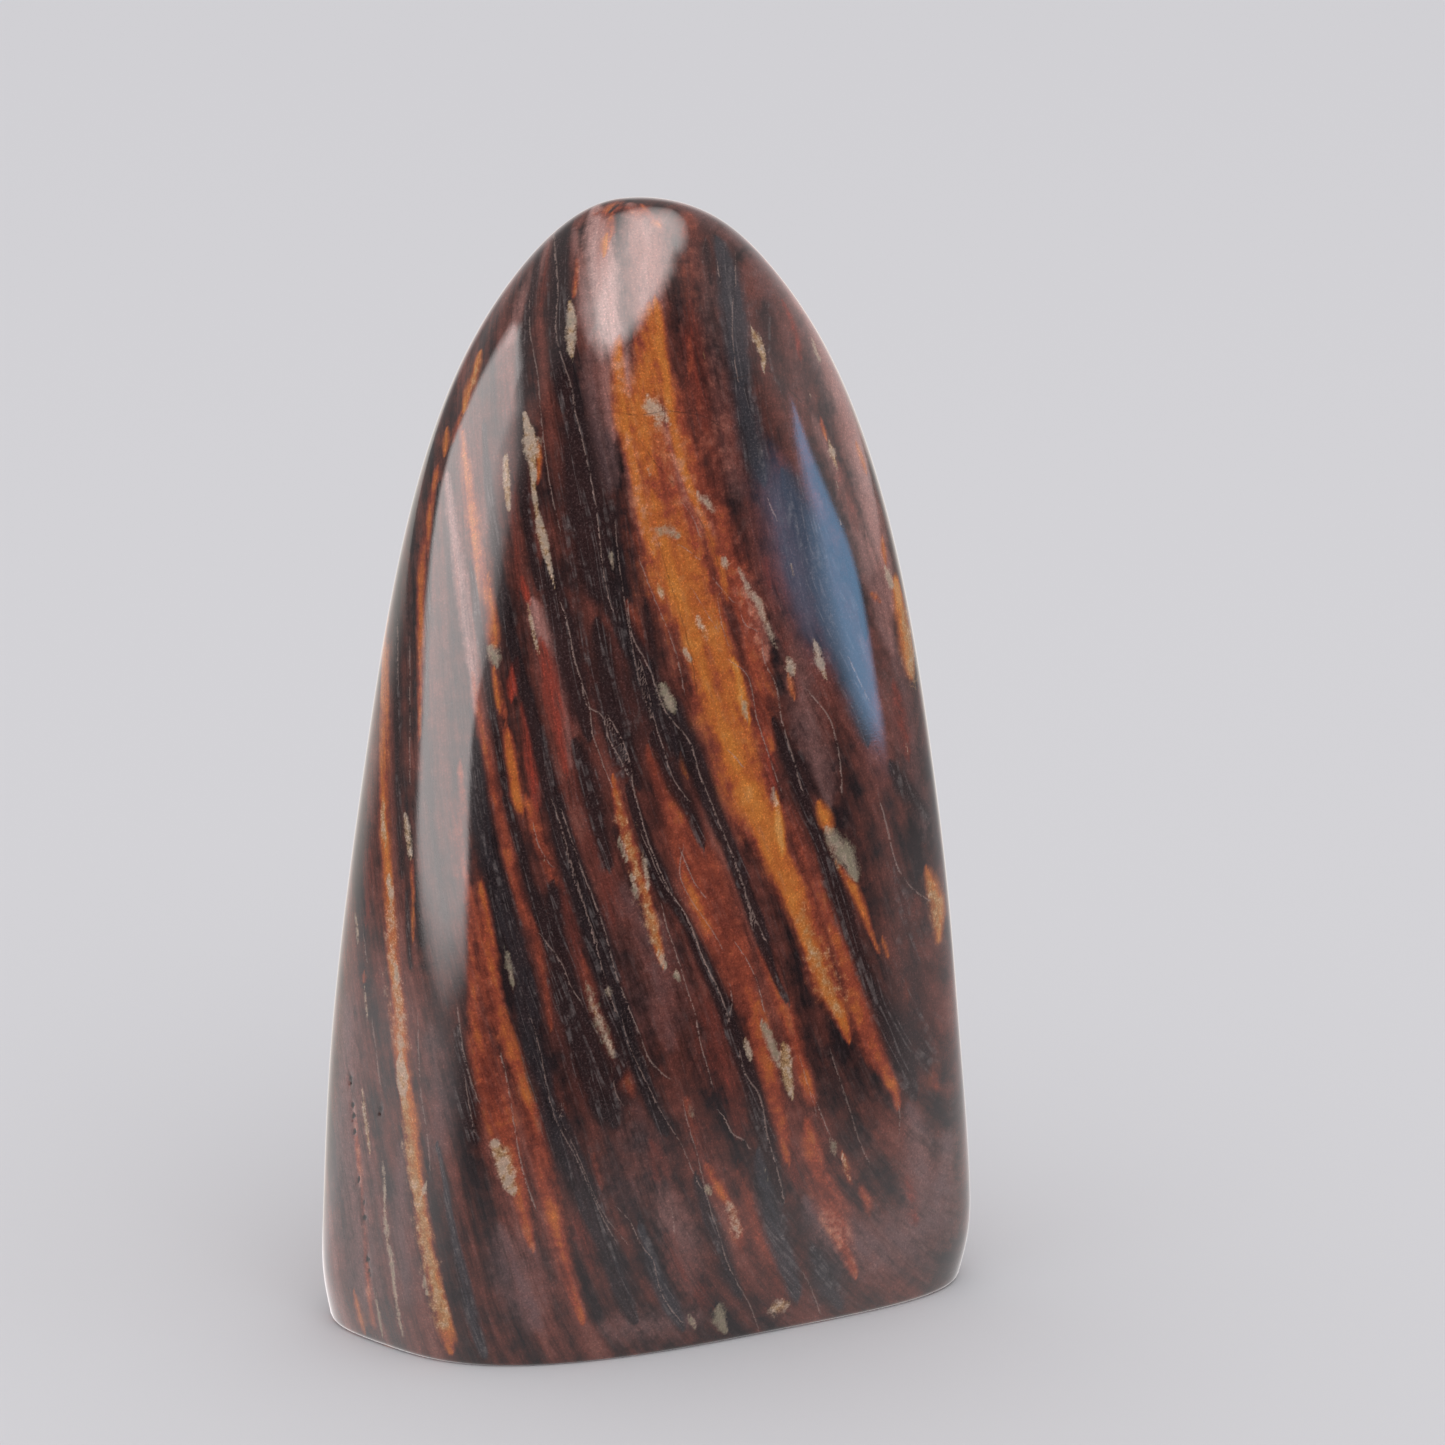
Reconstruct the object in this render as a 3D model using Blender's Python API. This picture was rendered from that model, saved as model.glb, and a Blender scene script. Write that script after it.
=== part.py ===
"""A freestanding piece of polished banded jasper: one solid stone on a flat cut base.

Z is up and the broad front faces -Y. X runs along the front, with the narrower left flank at -X.
The origin lies on the base, at the centre of the stone's box seen from above. Sizes are in
millimetres, and the mesh is made in metres.
"""
import math

import bmesh
import bpy
import numpy as np

MM = 0.001

HEIGHT = 110.0

# The outline seen square to the front: height, reach to the left and reach to the right of the middle
OUTLINE = (
    (0.0, 29.0, 28.6),
    (5.0, 29.8, 29.7),
    (10.0, 29.8, 29.9),
    (25.0, 29.2, 29.2),
    (40.0, 27.7, 28.5),
    (55.0, 25.6, 27.3),
    (70.0, 23.2, 25.5),
    (85.0, 19.7, 22.3),
    (95.0, 15.8, 18.6),
    (103.0, 10.6, 13.6),
    (108.0, 5.4, 8.1),
    (HEIGHT, 0.0, 0.0),
)

# Depth from front to back, as a share of the breadth at the same height
DEPTH_SHARE = 0.625

# How square the level section is at each upright corner of the base, where 2 is a plain ellipse
FRONT_LEFT, FRONT_RIGHT = 3.0, 3.6
BACK_LEFT, BACK_RIGHT = 3.2, 2.8
AT_THE_TOP = 2.3

# The stone grows deeper towards +X, by this share at a reach of HALF_BREADTH
WEDGE = 0.15
HALF_BREADTH = 30.0

# The ends slant: each millimetre towards the back moves a point this far along X
END_SLANT = -0.23

# Radius of the edge round the base
RIM = 0.6
RIM_STEPS = 3

# Fineness of the mesh
AROUND = 72
LEVELS = 34

STONE_COLOUR = (0.105, 0.036, 0.030, 1.0)
POLISHED_ROUGHNESS = 0.12


def smooth_curve(xs, ys, x):
    """Read a natural cubic curve through the points (xs, ys) at x."""
    xs, ys, x = np.asarray(xs), np.asarray(ys), np.asarray(x)
    step = np.diff(xs)
    slope = np.diff(ys) / step
    system = np.eye(len(xs))
    bend = np.zeros(len(xs))
    for i in range(1, len(xs) - 1):
        system[i, i - 1:i + 2] = step[i - 1], 2 * (step[i - 1] + step[i]), step[i]
        bend[i] = 6 * (slope[i] - slope[i - 1])
    bend = np.linalg.solve(system, bend)
    i = np.clip(np.searchsorted(xs, x) - 1, 0, len(step) - 1)
    along = x - xs[i]
    first = slope[i] - step[i] * (2 * bend[i] + bend[i + 1]) / 6
    third = (bend[i + 1] - bend[i]) / (6 * step[i])
    return ys[i] + along * (first + along * (bend[i] / 2 + along * third))


def reaches(height):
    """Reach to the left and to the right at a height.

    The curve runs over the angle whose sine is the height, so it closes in a round top.
    """
    levels, left, right = np.array(OUTLINE).T
    angles = np.arcsin(levels / HEIGHT)
    angle = np.arcsin(height / HEIGHT)
    return smooth_curve(angles, left, angle), smooth_curve(angles, right, angle)


def section(height, inset=0.0):
    """The level section at a height, as points around the middle, drawn in by an inset."""
    left, right = reaches(height)
    turn = np.arange(AROUND) * 2 * math.pi / AROUND
    across, deep = np.cos(turn), np.sin(turn)
    corner = np.where(
        across < 0,
        np.where(deep < 0, FRONT_LEFT, BACK_LEFT),
        np.where(deep < 0, FRONT_RIGHT, BACK_RIGHT),
    )
    square = corner + (AT_THE_TOP - corner) * height / HEIGHT
    half_breadth = np.where(across < 0, left, right)
    half_depth = DEPTH_SHARE * (left + right) / 2
    spread = (np.abs(across) / half_breadth)**square + (np.abs(deep) / half_depth)**square
    reach = spread**(-1 / square) - inset
    x, y = reach * across, reach * deep
    y = y * (1 + WEDGE * x / HALF_BREADTH)
    x = x + END_SLANT * y
    return np.stack([x, y, np.full(AROUND, height)], axis=1)


def all_sections():
    """The sections from the base to just under the top, with the rounded rim first."""
    rows = []
    for turn in np.linspace(0, math.pi / 2, RIM_STEPS + 1)[:-1]:
        rows.append(section(RIM * (1 - math.cos(turn)), RIM * (1 - math.sin(turn))))
    for angle in np.linspace(math.asin(RIM / HEIGHT), math.pi / 2, LEVELS)[:-1]:
        rows.append(section(HEIGHT * math.sin(angle)))
    return np.array(rows)


def stone_mesh():
    """One closed mesh: rings of quads, a fan under the top and a fan across the base."""
    rows = all_sections()
    middle = (rows.min(axis=(0, 1)) + rows.max(axis=(0, 1))) / 2
    middle[2] = 0.0
    tip = np.array([0.0, 0.0, HEIGHT])

    shape = bmesh.new()
    rings = [[shape.verts.new(point) for point in (row - middle) * MM] for row in rows]
    top = shape.verts.new((tip - middle) * MM)
    base = shape.verts.new((0.0, 0.0, 0.0))
    for i in range(AROUND):
        j = (i + 1) % AROUND
        for lower, upper in zip(rings, rings[1:]):
            shape.faces.new((lower[i], lower[j], upper[j], upper[i]))
        shape.faces.new((rings[-1][i], rings[-1][j], top))
        shape.faces.new((rings[0][j], rings[0][i], base))

    mesh = bpy.data.meshes.new("jasper")
    shape.to_mesh(mesh)
    shape.free()
    mesh.shade_smooth()
    return mesh


def polished_stone():
    """Deep red-brown jasper with a hand-polished surface."""
    material = bpy.data.materials.new("polished jasper")
    material.use_nodes = True
    shader = material.node_tree.nodes["Principled BSDF"]
    shader.inputs["Base Color"].default_value = STONE_COLOUR
    shader.inputs["Roughness"].default_value = POLISHED_ROUGHNESS
    shader.inputs["Metallic"].default_value = 0.0
    return material


def main():
    for leftover in list(bpy.data.objects):
        bpy.data.objects.remove(leftover, do_unlink=True)
    mesh = stone_mesh()
    mesh.materials.append(polished_stone())
    stone = bpy.data.objects.new("jasper", mesh)
    bpy.context.scene.collection.objects.link(stone)


main()
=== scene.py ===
"""A polished piece of banded jasper, standing on a pale floor in soft window light.

The stone is one fine mesh over the form of the solid. Its bands, lenses and hair lines are strokes laid in
pixels of the 1445 x 1445 photograph. The camera's rays carry them onto the surface, where each kind
becomes a field: how deep a point lies inside the strokes, and their shade. The material turns the fields
into colour, with fibres and grain that run along the stone's bedding. The side that the photograph hides is
crossed by sheets of the same kinds, which the surface cuts. The windows that the polish mirrors are outlined
in pixels too.

The form is written in millimetres and the strokes in pixels. The scene is in metres.
"""
import math
from collections import namedtuple

import bpy
import numpy as np
from mathutils import Matrix, Vector
from mathutils.bvhtree import BVHTree
from mathutils.interpolate import poly_3d_calc


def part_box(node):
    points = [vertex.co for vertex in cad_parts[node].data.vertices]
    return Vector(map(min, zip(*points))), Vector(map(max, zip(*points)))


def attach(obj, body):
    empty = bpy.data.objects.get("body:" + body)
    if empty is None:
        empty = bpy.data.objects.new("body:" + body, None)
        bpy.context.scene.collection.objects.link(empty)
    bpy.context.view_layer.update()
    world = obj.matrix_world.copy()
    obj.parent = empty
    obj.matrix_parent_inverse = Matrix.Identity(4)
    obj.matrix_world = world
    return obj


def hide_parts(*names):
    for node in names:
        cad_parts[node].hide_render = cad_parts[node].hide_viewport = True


MM = 0.001

# The form, as in the solid

HEIGHT = 110.0

# The outline seen square to the front: height, reach to the left and reach to the right of the middle
OUTLINE = (
    (0.0, 29.0, 28.6),
    (5.0, 29.8, 29.7),
    (10.0, 29.8, 29.9),
    (25.0, 29.2, 29.2),
    (40.0, 27.7, 28.5),
    (55.0, 25.6, 27.3),
    (70.0, 23.2, 25.5),
    (85.0, 19.7, 22.3),
    (95.0, 15.8, 18.6),
    (103.0, 10.6, 13.6),
    (108.0, 5.4, 8.1),
    (HEIGHT, 0.0, 0.0),
)

# Depth from front to back, as a share of the breadth at the same height
DEPTH_SHARE = 0.625

# How square the level section is at each upright corner of the base, where 2 is a plain ellipse
FRONT_LEFT, FRONT_RIGHT = 3.0, 3.6
BACK_LEFT, BACK_RIGHT = 3.2, 2.8
AT_THE_TOP = 2.3

# The stone grows deeper towards +X, by this share at a reach of HALF_BREADTH
WEDGE = 0.15
HALF_BREADTH = 30.0

# The ends slant: each millimetre towards the back moves a point this far along X
END_SLANT = -0.23

# Radius of the edge round the base
RIM = 0.6
RIM_STEPS = 4

# Fineness of the mesh. The columns stand closer together on the side in the photograph, round SEEN_TURN,
# and the change lies between two cosines of the turn away from it.
AROUND = 420
LEVELS = 232
FINER_IN_FRONT = 3.0
SEEN_TURN = math.radians(236.0)
SEEN_FROM, SEEN_FULL = -0.30, 0.10

# Points on the curves along which the columns and levels are spaced
FINE_STEPS = 4001
FINE_LEVELS = 2001

# The photograph's camera

PHOTO_SIZE = 1445
CAMERA_AZIMUTH = math.radians(-34.0)
CAMERA_ELEVATION = math.radians(15.0)
CAMERA_DISTANCE = 600.0
TARGET = (6.98, -4.83, 58.4)
FOCAL_PIXELS = 6170.0
SENSOR = 36.0
CLIP_START, CLIP_END = 0.01, 100.0

# A pixel just beside the stone moves in towards the first two, but only sideways between the last two rows
STONE_X, STONE_Y = 660.0, 700.0
TOP_Y, BASE_Y = 200, 1350

# Strokes. Each starts with its crispness and its shade, and then has points: pixel x, pixel y, half-width.

# Warm bands: shade 0 is brick, 0.5 orange and 1 yellow
WARM = (
    # the broad streak down the front, and its brighter heart
    (1.3, 0.22, (643, 385, 8), (646, 410, 29), (653, 450, 31), (661, 490, 35), (672, 530, 42), (681, 560, 38),
     (690, 590, 20)),
    (1.6, 0.45, (652, 490, 10), (664, 525, 30), (674, 550, 38), (683, 575, 42), (693, 605, 40),
     (706, 640, 34), (713, 670, 35), (719, 700, 35), (732, 730, 27), (742, 770, 30), (750, 800, 28),
     (762, 830, 23), (773, 852, 20), (784, 872, 21), (795, 890, 23), (806, 915, 20), (813, 940, 18),
     (820, 970, 18), (834, 1000, 13), (844, 1025, 8), (850, 1044, 3)),
    (1.8, 0.66, (662, 525, 8), (670, 560, 15), (680, 600, 14), (692, 640, 17), (706, 675, 20), (720, 710, 21),
     (735, 750, 20), (748, 790, 19), (762, 830, 16), (778, 865, 14), (794, 900, 14), (808, 935, 13),
     (818, 970, 12), (835, 1005, 9), (847, 1032, 5)),
    (0.6, 0.10, (782, 800, 8), (800, 850, 12), (820, 900, 14), (842, 950, 14), (862, 1010, 12)),
    (1.4, 0.85, (684, 600, 3), (693, 622, 9), (701, 645, 10), (706, 665, 4)),
    (1.4, 0.9, (730, 655, 3), (738, 675, 8), (742, 700, 9), (750, 722, 5)),
    (1.4, 0.9, (776, 790, 3), (778, 815, 7), (780, 840, 9), (783, 860, 6)),
    (1.4, 0.65, (622, 395, 6), (626, 430, 9), (634, 470, 10), (644, 515, 12), (656, 560, 8)),
    (1.2, 0.55, (694, 495, 6), (706, 525, 9), (718, 560, 10), (728, 600, 9)),
    (1.0, 0.22, (684, 440, 8), (706, 490, 16), (726, 545, 21), (740, 600, 22), (750, 650, 20), (762, 705, 14),
     (772, 752, 7)),
    (1.0, 0.30, (655, 360, 8), (670, 395, 16), (684, 440, 18), (700, 490, 14), (712, 530, 8)),
    (1.3, 0.58, (649, 302, 8), (650, 340, 17), (648, 375, 26), (646, 410, 30), (650, 450, 30),
     (662, 490, 22)),
    # above the streak
    (0.4, 0.0, (690, 215, 10), (694, 250, 14), (692, 300, 14), (698, 350, 16), (706, 400, 18), (714, 450, 16),
     (722, 500, 12)),
    (0.7, 0.30, (596, 214, 6), (618, 208, 9), (640, 211, 8), (658, 222, 6)),
    (1.5, 0.6, (655, 296, 5), (658, 325, 9), (662, 355, 9), (667, 390, 9), (674, 430, 9), (684, 470, 8),
     (700, 510, 8)),
    (1.0, 0.4, (634, 335, 5), (640, 360, 10), (647, 385, 9), (652, 402, 4)),
    (1.3, 0.6, (620, 334, 6), (618, 365, 10), (620, 400, 11), (626, 440, 11)),
    (0.8, 0.3, (690, 335, 5), (692, 355, 9), (689, 375, 5)),
    (1.2, 0.45, (612, 213, 5), (612, 229, 7), (610, 240, 3)),
    (1.0, 0.75, (607, 233, 4), (604, 256, 5)),
    (0.9, 0.45, (577, 255, 3), (576, 280, 4), (573, 300, 3)),
    (1.0, 0.35, (642, 205, 6), (650, 216, 9), (660, 226, 5)),
    # to the right of it
    (1.3, 0.2, (828, 925, 5), (842, 950, 11), (854, 985, 14), (861, 1010, 15), (870, 1040, 14),
     (882, 1065, 10), (892, 1085, 6), (899, 1112, 3)),
    (1.0, 0.15, (858, 1005, 4), (865, 1035, 9), (872, 1060, 7), (878, 1072, 3)),
    (1.2, 0.75, (818, 798, 3), (824, 815, 9), (831, 833, 8)),
    (1.1, 0.5, (836, 862, 3), (848, 880, 6), (860, 902, 6), (869, 928, 4), (880, 957, 2)),
    (0.8, 0.5, (788, 672, 2), (791, 686, 5), (795, 701, 2)),
    (0.9, 0.6, (820, 415, 2), (823, 428, 4), (827, 441, 2)),
    (1.0, 0.6, (882, 535, 2), (884, 552, 4), (886, 566, 2)),
    (1.4, 0.8, (895, 578, 4), (901, 610, 8), (907, 645, 9), (912, 676, 5)),
    (0.9, 0.8, (855, 440, 2), (862, 458, 4), (867, 475, 3)),
    (0.8, 0.8, (925, 864, 2), (932, 885, 7), (938, 905, 9), (939, 925, 7), (938, 944, 3)),
    (0.8, 0.6, (868, 590, 2), (876, 598, 4), (882, 604, 2)),
    (0.3, 0.3, (905, 935, 2), (907, 944, 3), (908, 952, 1)),
    (0.3, 0.3, (905, 978, 2), (907, 992, 3), (908, 1005, 1)),
    (0.7, 0.6, (881, 934, 1), (885, 948, 3), (890, 962, 1)),
    (0.2, 0.4, (932, 1064, 2), (935, 1078, 4), (937, 1092, 2)),
    # the brick streak below the dark band, and where it forks
    (1.5, 0.12, (648, 745, 5), (660, 780, 12), (668, 800, 14), (673, 820, 17), (681, 840, 21), (693, 860, 26),
     (704, 880, 26), (718, 920, 26), (727, 940, 26), (734, 960, 23), (739, 980, 18), (743, 1000, 12),
     (750, 1020, 9)),
    (1.2, 0.35, (668, 822, 4), (677, 850, 8), (688, 880, 9), (700, 905, 9), (712, 935, 5)),
    (1.3, 0.28, (745, 985, 5), (752, 1010, 13), (759, 1040, 14), (766, 1065, 13), (773, 1090, 10),
     (782, 1130, 7), (789, 1165, 4)),
    (1.1, 0.2, (757, 945, 4), (768, 970, 9), (779, 1000, 13), (790, 1030, 11), (799, 1060, 8),
     (807, 1085, 8), (814, 1108, 5)),
    (0.9, 0.35, (760, 1045, 6), (767, 1075, 8), (773, 1100, 5)),
    (1.0, 0.2, (806, 1118, 5), (815, 1155, 12), (826, 1190, 16), (836, 1220, 14), (846, 1250, 9),
     (856, 1278, 5)),
    (0.8, 0.5, (841, 1150, 2), (846, 1168, 4), (852, 1186, 2)),
    (0.7, 0.3, (858, 1183, 3), (866, 1200, 7), (869, 1217, 3)),
    # low on the front
    (1.1, 0.35, (704, 1160, 3), (713, 1178, 7), (722, 1193, 8), (729, 1204, 4)),
    (0.6, 0.2, (726, 1192, 3), (733, 1213, 6), (739, 1236, 6), (744, 1253, 2)),
    (0.5, 0.08, (738, 1160, 5), (748, 1190, 9), (757, 1225, 10), (767, 1255, 11), (777, 1285, 10),
     (784, 1308, 6)),
    (0.5, 0.15, (592, 1150, 2), (597, 1172, 4), (602, 1191, 2)),
    (0.4, 0.2, (686, 1095, 2), (690, 1113, 4), (694, 1131, 3), (697, 1147, 2)),
    # the ochre lens in the middle of the front, and the tan ones below it
    (1.2, 0.38, (612, 772, 2), (616, 795, 6), (622, 820, 9), (629, 845, 10), (636, 865, 10), (643, 885, 9),
     (648, 905, 7), (654, 930, 6), (659, 950, 5), (663, 968, 2)),
    (0.7, 0.1, (581, 950, 2), (587, 980, 6), (595, 1010, 7), (603, 1030, 7), (610, 1050, 5), (616, 1064, 2)),
    (0.4, 0.1, (617, 1060, 3), (626, 1080, 8), (632, 1097, 4)),
    (0.6, 0.4, (604, 973, 3), (608, 990, 7), (612, 1002, 3)),
    (1.2, 0.75, (680, 749, 2), (683, 764, 5), (688, 780, 3)),
    (1.1, 0.12, (626, 600, 4), (633, 622, 8), (640, 645, 9), (647, 666, 5)),
    # left of the middle
    (1.2, 0.6, (488, 572, 2), (490, 600, 6), (492, 625, 8), (494, 650, 7)),
    (1.1, 0.7, (494, 664, 4), (496, 690, 6), (499, 712, 4)),
    (0.9, 0.35, (501, 698, 4), (505, 722, 5)),
    (1.4, 0.4, (506, 724, 4), (511, 755, 8), (516, 790, 8), (523, 815, 6)),
    (1.0, 0.2, (526, 795, 5), (533, 820, 8), (541, 845, 9), (550, 870, 7), (557, 890, 3)),
    (0.9, 0.2, (472, 668, 2), (475, 690, 5), (484, 740, 6), (492, 790, 7), (502, 826, 7), (508, 853, 7),
     (515, 880, 7), (522, 905, 7), (534, 932, 7), (541, 962, 6), (548, 1000, 5), (552, 1032, 3)),
    (1.0, 0.5, (461, 425, 3), (466, 465, 6), (471, 515, 8), (480, 565, 9), (489, 610, 8)),
    (0.8, 0.14, (461, 760, 4), (461, 820, 8), (464, 870, 11), (474, 910, 13), (482, 950, 14), (488, 990, 12),
     (495, 1030, 8)),
    (1.1, 0.9, (481, 348, 2), (476, 368, 5), (469, 392, 6), (463, 414, 3)),
    (1.3, 0.2, (462, 840, 2), (466, 880, 4), (470, 920, 5), (472, 960, 6), (474, 1000, 7), (477, 1030, 11),
     (484, 1060, 17), (494, 1095, 17), (503, 1130, 17), (512, 1165, 13), (522, 1200, 10), (527, 1226, 7),
     (533, 1252, 3)),
    (1.2, 0.25, (480, 880, 3), (486, 920, 7), (490, 960, 9), (495, 1000, 10), (503, 1030, 10),
     (515, 1060, 11), (530, 1095, 13), (537, 1130, 13), (543, 1170, 12), (553, 1210, 11), (563, 1250, 11),
     (571, 1280, 9), (578, 1305, 7), (583, 1327, 4)),
    (0.9, 0.6, (538, 440, 2), (539, 462, 4), (537, 486, 3)),
    # the left flank
    (1.4, 0.55, (380, 600, 2), (383, 640, 5), (384, 720, 6), (384, 820, 6), (388, 890, 6), (391, 930, 7),
     (396, 990, 8), (401, 1050, 9), (407, 1100, 9), (413, 1150, 9), (419, 1200, 9), (427, 1250, 9),
     (436, 1290, 9), (445, 1325, 9), (451, 1354, 7)),
    (0.8, 0.5, (461, 412, 2), (457, 427, 4), (453, 443, 2)),
    (1.0, 0.8, (447, 427, 3), (446, 443, 4), (444, 459, 2)),
    (1.0, 0.35, (438, 465, 3), (432, 495, 4), (428, 530, 5), (423, 560, 5), (420, 600, 4), (420, 680, 4),
     (419, 742, 2)),
    (0.9, 0.5, (364, 971, 2), (364, 978, 3), (364, 985, 2)),
    (0.8, 0.4, (411, 854, 2), (413, 880, 3), (413, 906, 2)),
    (0.7, 0.7, (413, 900, 2), (413, 942, 2)),
    (0.7, 0.3, (354, 1095, 2), (358, 1150, 3), (362, 1200, 3), (366, 1250, 3), (370, 1300, 3),
     (375, 1330, 3)),
    (0.6, 0.5, (354, 1290, 2), (359, 1315, 4), (364, 1334, 3)),
)

# Deep red bands: shade 0 is brown and 1 vivid
RED = (
    (1.3, 1.0, (518, 655, 3), (514, 675, 7), (511, 702, 5)),
    (1.1, 0.9, (521, 573, 3), (525, 590, 5), (531, 607, 3)),
    (1.1, 0.7, (522, 700, 3), (527, 735, 8), (533, 780, 9), (538, 812, 5)),
    (1.0, 0.7, (540, 638, 7), (549, 670, 12), (555, 705, 13), (561, 740, 9), (567, 778, 4)),
    (0.8, 0.4, (368, 790, 3), (369, 840, 5), (368, 885, 5), (366, 927, 3)),
    (0.8, 0.3, (514, 468, 2), (516, 500, 5), (516, 550, 6), (518, 600, 4)),
    (0.8, 0.3, (548, 248, 3), (545, 280, 6), (541, 307, 3)),
    (1.2, 0.7, (636, 423, 5), (648, 452, 8), (664, 484, 9), (678, 506, 8), (690, 530, 6), (701, 555, 3)),
    (0.9, 0.6, (640, 322, 2), (640, 360, 5), (640, 402, 3)),
    (0.8, 0.5, (690, 300, 8), (692, 345, 14), (698, 385, 14), (706, 430, 10)),
    (1.1, 0.6, (755, 695, 4), (763, 735, 9), (771, 780, 9), (779, 820, 5)),
    (0.7, 0.3, (765, 556, 6), (775, 600, 15), (786, 645, 12), (796, 700, 8)),
    (0.7, 0.5, (838, 460, 5), (848, 495, 12), (858, 530, 8)),
    (0.8, 0.6, (781, 298, 2), (795, 330, 4), (801, 362, 3)),
    (0.9, 0.5, (893, 680, 4), (902, 720, 9), (909, 760, 4)),
    (0.6, 0.4, (578, 1210, 6), (586, 1240, 12), (593, 1270, 6)),
    (0.6, 0.5, (905, 1175, 4), (912, 1200, 10), (916, 1225, 6)),
    (0.6, 0.3, (706, 1000, 10), (716, 1030, 20), (724, 1065, 24), (733, 1100, 18), (742, 1140, 8)),
    (0.5, 0.3, (583, 815, 8), (597, 850, 16), (606, 890, 14), (614, 930, 8)),
    (0.6, 0.4, (560, 880, 8), (570, 920, 12), (578, 960, 8), (586, 1000, 4)),
    (0.5, 0.4, (650, 1140, 8), (656, 1165, 12), (660, 1190, 6)),
    (0.6, 0.3, (565, 650, 3), (571, 700, 6), (573, 760, 7), (578, 800, 6)),
    (0.8, 0.6, (736, 960, 5), (746, 985, 8), (752, 1010, 4)),
    (0.7, 0.4, (745, 600, 4), (752, 625, 6), (757, 660, 5)),
    (0.6, 0.3, (688, 1110, 8), (702, 1150, 14), (712, 1190, 8)),
    (0.6, 0.3, (760, 1110, 4), (790, 1150, 10), (798, 1190, 6)),
    (0.6, 0.3, (664, 1230, 8), (680, 1265, 18), (700, 1290, 14), (715, 1310, 8)),
)

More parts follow.
